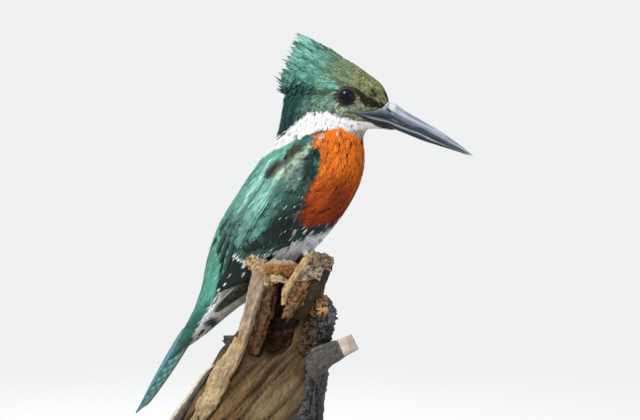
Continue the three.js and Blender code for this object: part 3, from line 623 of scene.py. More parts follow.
def coat_piece(name, made, colours, material, slot, keep, per_feather, vary, root_shade, white_tip=None):
    """Joins blades into one piece. Colours are one for each blade; feathers and barbs differ a little,
    and each blade is darker at its root. Its place in the map is a small patch at its root's t and angle."""
    blades, normals, root_t, root_angle = made
    white_tip = np.zeros(len(blades)) if white_tip is None else white_tip
    if keep is not None:
        kept = (part[keep] for part in (blades, normals, root_t, root_angle, colours, white_tip))
        blades, normals, root_t, root_angle, colours, white_tip = kept
    count = len(blades)
    whole = np.repeat(rng.normal(1, vary, count // per_feather + 1), per_feather)[:count]
    shade = whole * rng.normal(1, vary * 0.8, count)
    along = np.clip(BLADE_ALONG, 0, 1)
    fade = root_shade + (1 - root_shade) * ramp(along, 0.05, 0.7)
    tint = colours[:, None, :] * np.clip(shade, 0.5, 1.6)[:, None, None] * fade[None, :, None]
    tint = mix(tint, COLLAR_WHITE, white_tip[:, None] * ramp(along, 0.7, 0.85)[None])
    faces = (BLADE_FACES[None] + 13 * np.arange(count)[:, None, None]).reshape(-1, 3)
    t_low, t_high = root_t.min(), max(root_t.max(), root_t.min() + 1e-6)
    place_u = 0.004 + 0.99 * (root_t - t_low) / (t_high - t_low)
    place_v = 0.004 + 0.99 * ((root_angle + np.pi) % (2 * np.pi)) / (2 * np.pi)
    bake = np.stack([
        place_u[:, None] + (BLADE_ALONG[None] - 0.5) * PATCH,
        place_v[:, None] + (BLADE_ACROSS[None] - 0.5) * PATCH,
    ], -1)
    return make_piece(
        name, blades, [faces], material, slot,
        tint=tint, bake=np.clip(bake.reshape(-1, 2), 0.0005, 0.9995), normals=normals.reshape(-1, 3),
    )


EYE_CENTRE = np.array([57.1, 10.8, 249.7])
LID_REACH = 5.6


def clear_of_face(blades):
    """True for blades that keep off the eye and its lids and off the bare bill."""
    x, y, z = np.moveaxis(blades, -1, 0)
    near_eye = (np.hypot(x - EYE_CENTRE[0], z - EYE_CENTRE[2]) < LID_REACH) & (np.abs(y) > 7)
    return ~(near_eye | in_bill_window(outward(blades), z, 55)).any(1)


def blade_place(blades, station=2):
    """The point on each blade's ridge at one of its stations, where the blade takes its colour."""
    return blades[:, 3 * station + 1]


def lie_lines(made, round_count=14.0, along_count=22.0):
    """Soft random from -1 to 1 in lines along the lie of the feathers: fine round the body, long down it."""
    place = np.stack([made[3] * round_count, made[2] * along_count, 0 * made[2]], -1)
    return np.clip(1.3 * cloud(place, 1.0, 12) + 0.7 * cloud(place * 2, 1.0, 13), -1, 1)


FACE_FEATHER = feather_finish("face_feather", 2600, 0.62)
HEAD_FEATHER = feather_finish("head_feather", 1900, 0.5)
BODY_FEATHER = feather_finish("body_feather", 1500, 0.5)
SOFT_FEATHER = feather_finish("soft_feather", 1500, 0.75, specular=0.15)
WHITE_FEATHER = feather_finish("white_feather", 1500, 0.7, shade=(0.93, 1.05))


def over_collar(here):
    """Height above the top edge of the white collar."""
    return here[:, 2] - collar_top(outward(here))


def under_collar(here):
    """True below the collar's lower edge, or no more than a millimetre above it."""
    return here[:, 2] < np.interp(outward(here), *COLLAR_FOOT) + 1


def under_breast(here, margin):
    """True below the foot of the orange breast, moved up by the margin."""
    return here[:, 2] < np.interp(outward(here), *BREAST_FOOT) + margin


def plumage_zone(name, density, length, width, barbs, heading, material, slot, t_range, stand=0.0,
                 ragged=0.10, vary=0.13, root_shade=0.5, face=False, surface=body_surface, taken_at=2,
                 lined=0.2, sleek=0.45):
    """One zone of contour feathers. The sizes are functions of t, angle and place, or plain numbers. The
    colours are darkened and lightened in lines that follow the lie of the feathers."""
    t, angle = scatter(surface, density, t_range=t_range)
    here = surface(t, angle)

    def value(rule):
        return rule(t, angle, here) if callable(rule) else rule

    depth = coat_depth(np.clip(t, 0, 1))
    high = value(stand) + rng.uniform(-0.25, 0.1, len(t)) * np.minimum(depth, 1.2)
    made = fan_out(surface, t, angle, value(heading), value(length), value(width), barbs, -depth * 0.95, high,
                   ragged, sleek)
    keep = clear_of_face(made[0]) if face else None
    colours = markings(blade_place(made[0], taken_at)) * (1 + lined * lie_lines(made))[:, None]
    return coat_piece(name, made, colours, material, slot, keep, barbs, vary, root_shade)


def face_density(t, angle, here):
    return np.where((over_collar(here) > -1.0) | (t < 0.1), 1.8, 0)


plumage_zone(
    "face_feathers", face_density, lambda t, a, p: 1.5 + 7 * t, lambda t, a, p: 1.0 + 2.6 * t, 3, 0.0,
    FACE_FEATHER, "head_plumage", (0.002, 0.19), stand=0.05, vary=0.3, root_shade=0.55, face=True,
)


def head_density(t, angle, here):
    hidden = (here[:, 0] < 40) & (here[:, 2] > 252)
    return np.where(over_collar(here) > 0, np.where(hidden, 0.1, 0.68), 0)


plumage_zone(
    "head_feathers", head_density, lambda t, a, p: 4.4 - 2.4 * ramp(over_collar(p), 6, 0.5), 1.9, 4, 0.0,
    HEAD_FEATHER, "head_plumage", (0.185, 0.56), stand=lambda t, a, p: 0.1 + 0.5 * ramp(p[:, 0], 24, 16),
    vary=0.22, face=True, lined=0.5,
)


def collar_density(t, angle, here):
    foot = np.interp(outward(here), *COLLAR_FOOT) - 1.5
    return np.where((over_collar(here) < 0.5) & (here[:, 2] > foot), 0.56, 0)


plumage_zone(
    "collar_feathers", collar_density, lambda t, a, p: 2.2 + 7 * np.clip(t, 0, 0.5), 2.2, 5, 0.0,
    WHITE_FEATHER, "collar_plumage", (0.04, 0.62), stand=0.1, vary=0.02, root_shade=1.0, face=True,
    lined=0.02, sleek=0.12,
)


def in_wing(here, margin=0.0):
    """True under the folded wing."""
    return inside_depth(here[:, 0], here[:, 2], WING_RING) > margin


def breast_density(t, angle, here):
    front = (outward(here) > np.interp(here[:, 2], *BREAST_SIDE) - 0.8) & ~under_breast(here, 4)
    clear = ~in_wing(here, np.where(here[:, 2] > 203, -2.2, 1.5))
    return np.where(front & under_collar(here) & clear, 0.27, 0)


def breast_heading(t, angle, here):
    """The sides of the breast sweep back over the bend of the wing, and the middle runs straight down."""
    return -0.62 * np.sin(np.abs(angle)) * ramp(here[:, 2], 212, 196) - 0.08


plumage_zone(
    "breast_feathers", breast_density, lambda t, a, p: 6 + 4 * ramp(p[:, 2], 218, 185), 2.5, 8,
    breast_heading, SOFT_FEATHER, "trunk_plumage", (0.36, 0.72), stand=0.2, ragged=0.22, vary=0.15,
    root_shade=0.6, taken_at=0, lined=0.3,
)


def belly_density(t, angle, here):
    front = (outward(here) > 17) | (np.abs(angle) > 1.75)
    low = under_breast(here, 5) & (here[:, 2] < 181) & (t > 0.58)
    return np.where(low & front & ~in_wing(here, 1.0), 0.17, 0)


def thigh_tuft(here):
    """Where the long loose feathers of the thighs hang out under the edge of the wing."""
    return blot(outward(here), here[:, 2], (17, 156), (12, 8))


plumage_zone(
    "belly_feathers", belly_density, lambda t, a, p: 8 - 1.5 * ramp(t, 0.85, 1) + 3.5 * thigh_tuft(p), 2.8,
    7, lambda t, a, p: -0.35 * np.sin(np.abs(a)), WHITE_FEATHER, "trunk_plumage", (0.56, 1.0),
    stand=lambda t, a, p: 0.25 + 3.2 * thigh_tuft(p), ragged=0.22, vary=0.06, root_shade=0.9, lined=0.1,
)


def back_density(t, angle, here):
    behind = (outward(here) < np.interp(here[:, 2], *BREAST_SIDE) + 0.5) & (np.abs(angle) < 1.9)
    return np.where(under_collar(here) & behind & ~in_wing(here, 2.5), 0.15, 0)


plumage_zone(
    "back_feathers", back_density, lambda t, a, p: 7 + 3 * ramp(t, 0.5, 0.8), 3.6, 8, 0.0,
    BODY_FEATHER, "trunk_plumage", (0.3, 1.0), stand=0.15, ragged=0.12, vary=0.13, root_shade=0.5, lined=0.35,
)


# The white chin runs forward as a narrow tongue of short feathers under the lower mandible.
CHIN_STATIONS = np.array([
    [86.5, 230.6, 86.4, 229.2, 0.9], [83, 232.4, 82.6, 229.2, 2.2], [78, 235, 77.2, 229.6, 4.0],
    [72, 238, 70.6, 229.8, 6.4], [65, 240, 63, 229.4, 8.6],
])


def chin_surface(t, angle, grow=0.0):
    """The body's lines once more, under the mandible from the tongue's tip back to the throat."""
    return hull(CHIN_STATIONS, t, angle, grow)


plumage_zone(
    "chin_feathers", lambda t, a, p: 0.9 * (np.abs(a) > 1.9), 3.6, 1.6, 4, 0.0, WHITE_FEATHER,
    "collar_plumage", (0.0, 0.9), vary=0.03, root_shade=0.95, surface=chin_surface, lined=0.04, sleek=0.12,
)


# ---- Crest -----------------------------------------------------------------------------------------
# Long loose feathers of the crown, raised into a wedge that narrows to a ragged edge behind the head.
# They are laid over a shell from the brow to that edge, layer over layer, and run on past its end.

CREST_STATIONS = np.array([
    [64.5, 265.0, 40, 247, 12.2],
    [56.5, 270.2, 33.5, 246.5, 13.2],
    [48, 275.4, 27.5, 247, 12.8],
    [39.5, 280.4, 22, 248.5, 10.2],
    [31.5, 284.2, 16.5, 250.5, 6.6],
    [23.0, 288.4, 8.8, 254.5, 2.4],
])


def crest_surface(t, angle, grow=0.0):
    """The same lines as the body's, from the crown back past the crest's ragged edge."""
    return hull(CREST_STATIONS, t, angle, grow)


def crest_density(t, angle, here):
    return np.where(np.abs(angle) < 2.9, 0.72 - 0.2 * ramp(t, 0.3, 0.55), 0)


# The first two crest colours are painted highlights; the third is a darker green for the top edge.
CREST_HIGHLIGHT, CREST_STREAK_HIGHLIGHT, CREST_SHADE = (0.24, 0.47, 0.40), (0.21, 0.43, 0.36), (0.05, 0.12, 0.10)
CREST_BARBS = 5

crest_t, crest_angle = scatter(crest_surface, crest_density, t_range=(0.02, 0.8))
round_edge = np.stack([np.cos(crest_angle) * 9, np.sign(crest_angle) * 2.0, 0 * crest_t], -1)
reach = 1.0 + 0.09 * cloud(round_edge, 1.6, 21) + 0.05 * cloud(round_edge, 0.6, 23)
reach = reach - 0.17 * ramp(np.abs(crest_angle), 1.9, 2.4) + 0.035 * rng.normal(0, 1, len(crest_t))
reach = np.where(np.abs(crest_angle) < 0.5, np.minimum(reach, 1.0), reach)
longest = (2.6 + 8.4 * ramp(crest_t, 0.1, 0.62)) * rng.uniform(0.75, 1.2, len(crest_t))
crest_length = np.minimum(np.maximum((reach - crest_t) * 50, 3.0), longest)
crest_high = 0.2 + 1.5 * rng.uniform(0, 1, len(crest_t)) ** 2 * (0.4 + 0.6 * ramp(crest_t, 0.1, 0.4))
within = (rng.uniform(0, 1, len(crest_t)) < 0.3) & (crest_t > 0.42) & (np.abs(crest_angle) > 0.35)
deep = -np.interp(crest_t, [0.4, 0.6, 0.8, 1], [8, 8.5, 5.4, 3]) * rng.uniform(0.3, 1, len(crest_t))
crest_high = np.where(within, deep, crest_high)
crest_length = np.where(within, 11.0, crest_length)
made = fan_out(
    crest_surface, crest_t, crest_angle, rng.normal(0, 0.1, len(crest_t)), crest_length,
    1.2 + 1.0 * ramp(crest_t, 0.1, 0.5), CREST_BARBS, -0.8 * (1 - 0.8 * crest_t), crest_high, ragged=0.12,
)
barb_place = blade_place(made[0])
barb_x, _, barb_z = barb_place.T
streak = lie_lines(made, 11.0, 5.0)
# Painted highlights where the light falls: on the crest's rear edge and along its lighter streaks.
lit_rear_edge = 0.65 * ramp(barb_x - 0.25 * (barb_z - 255), 28, 14)
top_edge = ramp(np.abs(made[3]), 0.35, 0.1) * ramp(barb_x, 24, 30) * ramp(barb_x, 56, 46)
crest_tint = painted(markings(barb_place) * (1 + 0.6 * streak)[:, None], [
    (CREST_HIGHLIGHT, lit_rear_edge * ramp(streak, -0.3, 0.6)),
    (CREST_STREAK_HIGHLIGHT, 0.5 * ramp(streak, 0.3, 0.9) * ramp(barb_x, 42, 32)),
    (CREST_SHADE, 0.6 * top_edge * rng.uniform(0, 1, len(top_edge))),
])
coat_piece("crest_feathers", made, crest_tint, HEAD_FEATHER, "crest_plumage", clear_of_face(made[0]),
           CREST_BARBS, 0.2, 0.45)


# ---- Wing coverts ----------------------------------------------------------------------------------
# Rows of small feathers that tile the bend and middle of the folded wing, green with darker centres.
# A few of the front ones end in a white fleck, and the last row ends in a line of white tips.

WING_GREEN = (0.027, 0.068, 0.055)
WING_MIDDLE = (0.085, 0.215, 0.175)
SCAPULAR_HIGHLIGHT_GREEN = (0.29, 0.59, 0.51)
SHOULDER_GREEN = (0.17, 0.285, 0.225)
COVERT_DARK = (0.013, 0.031, 0.026)
WRIST_DARK = (0.013, 0.035, 0.032)
SHOULDER_OLIVE = (0.36, 0.45, 0.33)
SHOULDER_SHADE = (0.055, 0.05, 0.035)
REAR_COVERT_GREEN = (0.06, 0.13, 0.11)


def wing_colours(points):
    """Green over the scapulars along the back edge, made bright by a painted highlight, dark bottle green in
    front and below, with a brown painted shade and a pale olive streak behind the shoulder."""
    x, y, z = np.moveaxis(points, -1, 0)
    out = outward(points) + 0.8 * cloud(points, 3, 31)
    z = z + 0.8 * cloud(points, 3, 32)
    strands = cloud(np.stack([0.84 * x - 0.55 * z, y, 0.14 * x + 0.21 * z], -1), 1.1, 33)
    sunlit_band = stripe(out, z, [(15, 215), (3, 202), (-8, 180), (-19, 163)], 9.8)
    sunlit_band = sunlit_band * (0.2 + 0.8 * ramp(z, 171, 187))
    middle = stripe(out, z, [(12, 206), (0, 182), (-10, 163)], 12)
    return painted(all_over(WING_GREEN, x), [
        (WING_MIDDLE, middle * ramp(strands, -1.6, 0.0)),
        (SCAPULAR_HIGHLIGHT_GREEN, sunlit_band * ramp(strands, -1.35, 0.25)),
        (SHOULDER_GREEN, 0.9 * blot(out, z, (20.5, 203), (13.5, 7.5), 62)),
        (COVERT_DARK, 0.9 * blot(out, z, (15, 172), (18, 11), 55)),
        (WRIST_DARK, 0.9 * stripe(out, z, [(34, 222), (32, 208), (29, 195), (22, 174)], 6)),
        (SHOULDER_OLIVE, 0.85 * stripe(out, z, [(31, 222), (22, 213), (13, 204)], 4.4)),
        (SHOULDER_SHADE, 0.95 * stripe(out, z, [(25, 222), (16, 214), (6.5, 204.5)], 4.3)),
        (REAR_COVERT_GREEN, 0.8 * blot(out, z, (-2, 158), (12, 6), 25)),
    ])


def covert_density(t, angle, here):
    lower = 161 + 0.24 * (here[:, 0] - 17) + 1.6 * np.maximum(-5 - here[:, 0], 0)
    return np.where(in_wing(here, np.where(here[:, 2] > 203, -1.6, -0.5)) & (here[:, 2] > lower), 0.16, 0)


COVERT_BARBS, SCAPULAR_BARBS = 9, 10

t, angle = scatter(body_surface, covert_density, t_range=(0.35, 0.9))
here = body_surface(t, angle)
made = fan_out(
    body_surface, t, angle, -0.04, 5 + 4 * ramp(here[:, 2], 215, 175), 4.2, COVERT_BARBS, -1.9,
    0.35 + rng.uniform(-0.3, 0.15, len(t)), ragged=0.08,
)
covert_colours = wing_colours(blade_place(made[0])) * (1 + 0.55 * lie_lines(made))[:, None]
spotted = (rng.uniform(0, 1, len(t)) < 0.15) & (outward(here) > 10) & (here[:, 2] < 205) & (here[:, 2] > 168)
fleck = np.zeros((len(t), COVERT_BARBS))
fleck[:, COVERT_BARBS // 2] = spotted * rng.uniform(0.25, 0.75, len(t))
coat_piece("wing_coverts", made, covert_colours, BODY_FEATHER, "wing_coverts", None, COVERT_BARBS, 0.15,
           0.45, fleck.ravel())


def scapular_density(t, angle, here):
    band = stripe(outward(here), here[:, 2], [(11, 208), (0, 194), (-9, 180), (-16, 171)], 8.0)
    return 0.15 * (band > 0.1) * (np.abs(angle) < 1.65)


t, angle = scatter(body_surface, scapular_density, t_range=(0.4, 0.9))
made = fan_out(
    body_surface, t, angle, 0.03, 12.0, 4.4, SCAPULAR_BARBS, -1.2, 0.7 + rng.uniform(-0.4, 0.4, len(t)),
    ragged=0.14,
)
scapular_colours = wing_colours(blade_place(made[0])) * (1 + 0.5 * lie_lines(made, 13.0, 9.0))[:, None]
# Each run of nine blades has one shade, so that the shades pass over the edges of these loose feathers.
coat_piece("scapulars", made, scapular_colours, BODY_FEATHER, "wing_coverts", None, 9, 0.15, 0.4)


# ---- Flight feathers -------------------------------------------------------------------------------
# The stiff quills of the folded wing: three tertials, nine secondaries and seven primaries on each side.
# Each is a thin cambered vane with a raised shaft, lying on the wing over the one before it.

VANE_ROWS, VANE_COLUMNS = 36, 11
PRIMARY_BROWN, PRIMARY_EDGE, PRIMARY_STRAND = (0.034, 0.034, 0.026), (0.34, 0.33, 0.28), (0.13, 0.125, 0.10)
SECONDARY_BLACK, SECONDARY_EDGE = (0.009, 0.017, 0.015), (0.04, 0.08, 0.07)
TERTIAL_GREEN, TERTIAL_BLACK = (0.022, 0.055, 0.047), (0.008, 0.012, 0.012)
TERTIAL_STREAK = (0.20, 0.45, 0.38)


def side_place(x, z, side):
    """t and angle of the body's point seen at x, z from the side: t is where that place lies on the
    station's own line, found as the first change of sign along a fine row of t."""
    t_row = np.linspace(0.25, 1, 500)
    back_x, back_z, belly_x, belly_z, _ = (smooth_line(column, t_row) for column in BODY_STATIONS.T)
    middle_x, middle_z = (back_x + belly_x) / 2, (back_z + belly_z) / 2
    to_x, to_z = back_x - middle_x, back_z - middle_z
    flat_x, flat_z = np.ravel(x)[:, None], np.ravel(z)[:, None]
    turned = to_x * (flat_z - middle_z) - to_z * (flat_x - middle_x)
    change = np.argmax((turned[:, 1:] > 0) != (turned[:, :-1] > 0), axis=1)
    rows = np.arange(len(flat_x))
    before, after = turned[rows, change], turned[rows, change + 1]
    t = t_row[change] + (t_row[1] - t_row[0]) * before / (before - after)
    back_x, back_z, belly_x, belly_z, _ = (smooth_line(column, t) for column in BODY_STATIONS.T)
    reach_x, reach_z = (back_x - belly_x) / 2, (back_z - belly_z) / 2
    off_x, off_z = flat_x[:, 0] - (back_x + belly_x) / 2, flat_z[:, 0] - (back_z + belly_z) / 2
    cosine = (off_x * reach_x + off_z * reach_z) / (reach_x**2 + reach_z**2)
    return t.reshape(np.shape(x)), side * np.arccos(np.clip(cosine, -0.97, 0.97)).reshape(np.shape(x))


def vane_grid(root, tip, bow, width, tip_round, side, low, high, camber):
    """A vane over the wing: its shaft runs from root to tip in x, z with a bow to one side; across it the
    width holds along most of the length and rounds off over the last part. It is cambered across, its
    shaft is a low ridge, and its height over the body goes from low to high."""
    s = np.linspace(0, 1, VANE_ROWS)[:, None]
    v = np.linspace(-1, 1, VANE_COLUMNS)[None, :]
    way = np.subtract(tip, root)
    long = np.hypot(*way)
    normal = np.array([-way[1], way[0]]) / long
    bent = bow * 4 * s * (1 - s)
    rounding = np.sqrt(np.clip(1 - np.clip((s - (1 - tip_round)) / tip_round, 0, 1) ** 2, 0.003, 1))
    half = width / 2 * np.minimum(0.55 + 1.6 * s, 1) * rounding
    x = root[0] + way[0] * s + normal[0] * (bent + v * half)
    z = root[1] + way[1] * s + normal[1] * (bent + v * half)
    t, angle = side_place(x, z, side)
    height = low + (high - low) * s**0.8 - camber * v**2 + 0.18 * np.exp(-((v / 0.12) ** 2)) * (1 - 0.7 * s)
    top = body_surface(t, angle, height)
    under = body_surface(t, angle, height - 0.25)
    return top, under, s + 0 * v, v + 0 * s


def vane_faces(rows, columns):
    """A closed plate: the top grid, the underside grid turned over, and a band round the rim."""
    count = rows * columns
    top = grid_faces(rows, columns)
    under = grid_faces(rows, columns, start=count)[:, ::-1]
    index = np.arange(count).reshape(rows, columns)
    rim = np.concatenate([index[0, :-1], index[:-1, -1], index[-1, :0:-1], index[:0:-1, 0]])
    following = np.roll(rim, -1)
    band = np.stack([rim, rim + count, following + count, following], -1)
    return np.concatenate([top, under, band])


def join_vanes(name, vanes, tints, material, slot, flip):
    """Joins vanes into one piece, each with its own patch of the map laid out along and across it."""
    faces = vane_faces(VANE_ROWS, VANE_COLUMNS)
    points, colours, maps, sets = [], [], [], []
    per_row = int(np.ceil(np.sqrt(len(vanes))))
    for number, (vane, tint) in enumerate(zip(vanes, tints)):
        top, under, s, v = vane
        sets.append(faces + number * 2 * VANE_ROWS * VANE_COLUMNS)
        points += [top, under]
        colours += [tint, tint * 0.5]
        cell = np.array([number % per_row, number // per_row]) / per_row
        for shift in (0, 0.5):
            place = np.stack([0.05 + 0.4 * (v + 1) / 2 + shift, 0.05 + 0.9 * s], -1).reshape(-1, 2)
            maps.append(cell + place / per_row)
    faces = np.concatenate(sets)
    return make_piece(name, points, [faces[:, ::-1] if flip else faces], material, slot,
                      tint=colours, bake=np.concatenate(maps))


QUILL = feather_finish("quill", 1700, 0.45)


def spots(s, v, places, radius_s, radius_v):
    """Round pale spots on a vane at places s, v."""
    strength = np.zeros(s.shape)
    for place_s, place_v in places:
        away = np.hypot((s - place_s) / radius_s, (v - place_v) / radius_v)
        strength = np.maximum(strength, ramp(away, 1, 0.6))
    return strength


def barbed(points, base, seed):
    """A colour broken by lines that run out from the shaft."""
    lines = cloud(points * (1, 0.5, 1), 0.8, seed)
    return np.asarray(base) * (1 + 0.22 * lines)[..., None]


# White spots on the outer webs, by the number of the secondary: how far along, and how far across.
SECONDARY_SPOTS = {0: [(0.8, 0.3)], 2: [(0.84, -0.4)], 3: [(0.86, 0.1)], 5: [(0.84, 0.2)], 6: [(0.7, 0.0)],
                   7: [(0.94, -0.3)], 8: [(0.78, 0.3), (0.88, 0.5), (0.98, 0.1)]}



def primary_tint(points, s, v, number):
    """Brownish black with paler edges to the web and a few pale strands."""
    return painted(barbed(points, PRIMARY_BROWN, 41 + number), [
        (PRIMARY_EDGE, 0.85 * ramp(np.abs(np.abs(v) - 0.92), 0.22, 0.1)),
        (PRIMARY_STRAND, 0.7 * ramp(cloud(points * (1, 1, 2.2), 0.9, 48), 0.0, 0.5)),
    ])


def secondary_tint(points, s, v, number):
    """Greenish black, greener at one edge, with the number's white spots."""
    return painted(barbed(points, SECONDARY_BLACK, 51 + number), [
        (SECONDARY_EDGE, 0.5 * ramp(v, -0.5, -0.95)),
        (COLLAR_WHITE, spots(s, v, SECONDARY_SPOTS.get(number, []), 0.026, 0.3)),
    ])


def tertial_tint(points, s, v, number):
    """Dark green, black along one web and streaked with bright green along the other."""
    strands = ramp(cloud(points * (1, 1, 0.3), 0.8, 66 + number), -0.5, 0.3)
    return painted(barbed(points, TERTIAL_GREEN, 61 + number), [
        (TERTIAL_BLACK, ramp(v, 0.2, 0.6)),
        (TERTIAL_STREAK, 0.85 * ramp(v, -0.2, -0.75) * strands * ramp(s, 0.98, 0.8)),
    ])


# Each row of quills: how many; x, z of the first one's root and the way from it to the last one's; the
# same for the tips, and how far their line bulges up; bow, width and rounded part; height over the body
# at the root, at the first tip, and what the last tip lies above it; camber; colouring.
QUILL_ROWS = [
    (7, [(14, 150), (-6, 2)], [(-7.2, 129.8), (-20.3, -13.8)], 0, (1.0, 5.4, 0.25), (-0.2, 0.7, 0.25), 0.35,
     primary_tint),
    (9, [(27, 172), (-15, 9)], [(6.5, 138.5), (-30.3, -9.5)], 1.5, (1.5, 7.2, 0.16), (-0.9, 1.0, 0.3), 0.4,
     secondary_tint),
    (3, [(2, 192), (-8, -6)], [(-17.6, 141), (-6.4, 12)], 0, (-1.2, 5.4, 0.3), (-0.5, 1.1, 0.3), 0.35,
     tertial_tint),
]
SIDES = (("left", 1), ("right", -1))

for side_name, side in SIDES:
    vanes, tints = [], []
    for count, (root, root_way), (tip, tip_way), bulge, blade, lift, camber, colouring in QUILL_ROWS:
        low, high, rise = lift
        for number in range(count):
            f = number / (count - 1)
            from_place = (root[0] + root_way[0] * f, root[1] + root_way[1] * f)
            to_place = (tip[0] + tip_way[0] * f, tip[1] + tip_way[1] * f + bulge * np.sin(np.pi * f))
            vane = vane_grid(from_place, to_place, *blade, side, low, high + rise * f, camber)
            vanes.append(vane)
            tints.append(colouring(vane[0], vane[2], vane[3], number))
    join_vanes(f"flight_feathers_{side_name}", vanes, tints, QUILL, "wing_secondaries", flip=side < 0)


# The last row of coverts lies over the roots of the secondaries, and its tips end in white dashes.
TIP_ROW = np.array([(-12, 150), (-8, 148), (-4.9, 146.9), (1.5, 148.6), (6, 149.2), (13, 151), (18, 153)])
TIPPED, TIPPED_BARBS = 24, 11

for side_name, side in SIDES:
    place = np.linspace(0, 1, TIPPED)
    row_x = 18 - 30 * place + rng.normal(0, 0.3, TIPPED)
    row_z = np.interp(row_x, *TIP_ROW.T) + rng.normal(0, 0.5, TIPPED)
    length = np.full(TIPPED, 11.0) + rng.uniform(-0.6, 0.6, TIPPED)
    t, angle = side_place(row_x + 5.6, row_z + 9.2, side)
    made = fan_out(body_surface, t, angle, -0.03, length, 4.0, TIPPED_BARBS, -0.8, 1.5, ragged=0.05)
    chance = np.where(np.abs(row_x + 4) < 4, 0.85, 0.5)[:, None]
    inner_barbs = np.abs(np.linspace(-1, 1, TIPPED_BARBS)) < 0.7
    white_tip = (rng.uniform(0, 1, (TIPPED, TIPPED_BARBS)) < chance) * inner_barbs * 0.95
    coat_piece(f"tipped_coverts_{side_name}", made, wing_colours(blade_place(made[0])), BODY_FEATHER,
               "wing_coverts", None, TIPPED_BARBS, 0.13, 0.5, white_tip.ravel())


# ---- Tail ------------------------------------------------------------------------------------------
# Twelve quills in a closed fan, six each side of a ridge along the middle, rolled over to the right.
# The middle pair lies on top. They are blue-green above, with pale bars on the outer ones.

TAIL_ROOT, TAIL_TIP = np.array([-38.5, 0, 121]), np.array([-82.6, 0, 50.6])
TAIL_TAPER = 6.9 * np.array([0.45, 0.8, 1.02, 1.02, 0.98, 0.88, 0.74, 0.56, 0.34])
TAIL_ROOF, TAIL_ROLL = np.radians(9), np.radians(-50)


def tail_surface(s, q, height):
    """A roof along the tail: at s from root to tip, go q (from -1 to 1) of the half width out to the left,
    falling at the roof's angle on both sides of the ridge, then up by the height. The roof is rolled
    about the tail's length, more along its first third, where it also sinks into the rump."""
    along = unit(TAIL_TIP - TAIL_ROOT)
    up, left = np.array([along[2], 0, -along[0]]), np.array([0.0, 1.0, 0.0])
    roll = (TAIL_ROLL * (0.5 + 0.5 * ramp(s, 0.0, 0.36)))[..., None]
    up, left = (v * np.cos(roll) + np.cross(along, v) * np.sin(roll) for v in (up, left))
    centre = TAIL_ROOT + (TAIL_TIP - TAIL_ROOT) * s[..., None]
    centre = centre + np.array([2.6, 0, -1.6]) * ramp(s, 0.3, 0.05)[..., None]
    reach = smooth_line(TAIL_TAPER, s) * q
    rise = height - np.abs(reach) * np.sin(TAIL_ROOF)
    return centre + left * (reach * np.cos(TAIL_ROOF))[..., None] + up * rise[..., None]


def tail_vane(middle, half, tip, height):
    """One tail quill: a plate round the line q = middle, of that half width, rounded at its tip, cambered
    across, with a shaft ridge, in the tail's own roof."""
    s = np.linspace(0, 1, VANE_ROWS)[:, None] + np.zeros((1, VANE_COLUMNS))
    v = np.linspace(-1, 1, VANE_COLUMNS)[None] + 0 * s
    rounding = np.sqrt(np.clip(1 - np.clip((s - 0.88) / 0.12, 0, 1) ** 2, 0.01, 1))
    q = middle + v * half * rounding * (1 + 0.35 * s)
    lift = height - 0.25 * v**2 + 0.16 * np.exp(-((v / 0.14) ** 2)) * (1 - 0.7 * s)
    return tail_surface(s * tip, q, lift), tail_surface(s * tip, q, lift - 0.22), s, v


TAIL_BLUE, TAIL_TEAL = (0.062, 0.215, 0.26), (0.035, 0.125, 0.125)
TAIL_BAR, TAIL_GAP_SHADE, TAIL_EDGE_SHADE = (0.18, 0.33, 0.32), (0.018, 0.045, 0.05), (0.10, 0.07, 0.045)


def tail_tint(points, s, q, number, bar_strength):
    """Green at the root and blue beyond, darker on the far side, with pale bars on the outer quills, a line
    of painted shade in the gap along the middle, and a brown painted shade along the edges."""
    colours = painted(all_over(RUMP_GREEN, s) * 0.8, [
        (TAIL_BLUE, ramp(s, 0.14, 0.46)),
        (TAIL_TEAL, ramp(s, 0.1, 0.4) * ramp(q, 0.0, -0.12)),
    ])
    bars = ramp(np.sin(s * 75 + number), 0.1, 0.6) * ramp(s, 0.15, 0.3) * ramp(np.abs(q), 0.08, 0.25)
    return painted(colours * (1 + 0.35 * cloud(points * (1, 1, 0.4), 0.7, 71 + number))[..., None], [
        (TAIL_BAR, bar_strength * bars),
        (TAIL_GAP_SHADE, 0.85 * ramp(np.abs(q + 0.06), 0.09, 0.03) * ramp(s, 0.2, 0.35)),
        (TAIL_EDGE_SHADE, 0.85 * ramp(np.abs(q), 0.84, 0.94)),
    ])


vanes, tints = [], []
for number in range(6):
    for side in (1, -1):
        middle = side * (0.13 + 0.145 * number)
        vane = tail_vane(middle, 0.2, 1 - 0.018 * number, 0.75 - 0.24 * number)
        vanes.append(vane)
        tints.append(tail_tint(vane[0], vane[2], middle + vane[3] * 0.2, number, 0.8 if side < 0 else 0.2))
tail = join_vanes("tail_feathers", vanes, tints, QUILL, "tail_feathers", flip=False)
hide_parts("tail")


# ---- Bill ------------------------------------------------------------------------------------------
# A long dagger of horn over bone in two mandibles, parted by a fine line from the gape to the tip.
# Bluish grey with paler growth streaks above, nearly black below, with a slit nostril near its base.

UPPER_BILL = np.array([
    [57, 242, 240.9, 12.6], [65, 242.4, 239.7, 11.6], [73, 243, 238.5, 9.6], [79, 246.4, 237.5, 7.0],
    [83.5, 246.2, 236.2, 5.7], [91, 241.2, 232.9, 4.8], [101.5, 235.3, 228.7, 3.9], [114, 228.2, 222.4, 2.8],
    [124, 221.4, 217.7, 1.6], [131, 216, 214.6, 0.7], [133.4, 214.2, 213.5, 0.3],
])
LOWER_BILL = np.array([
    [57.5, 239.6, 240.5, 12.3], [65, 236.8, 239.3, 11.3], [73, 233.6, 238.1, 9.2], [80, 231.4, 236.9, 6.4],
    [91, 227.2, 232.5, 4.5], [101.5, 223.1, 228.3, 3.6], [114, 219.2, 222, 2.5], [124, 216.2, 217.3, 1.4],
    [130.5, 213.9, 214.6, 0.5],
])
BILL_ROWS, ARCH_COLUMNS, FLAT_COLUMNS = 200, 44, 12
NOSTRIL_PLACE = 0.372

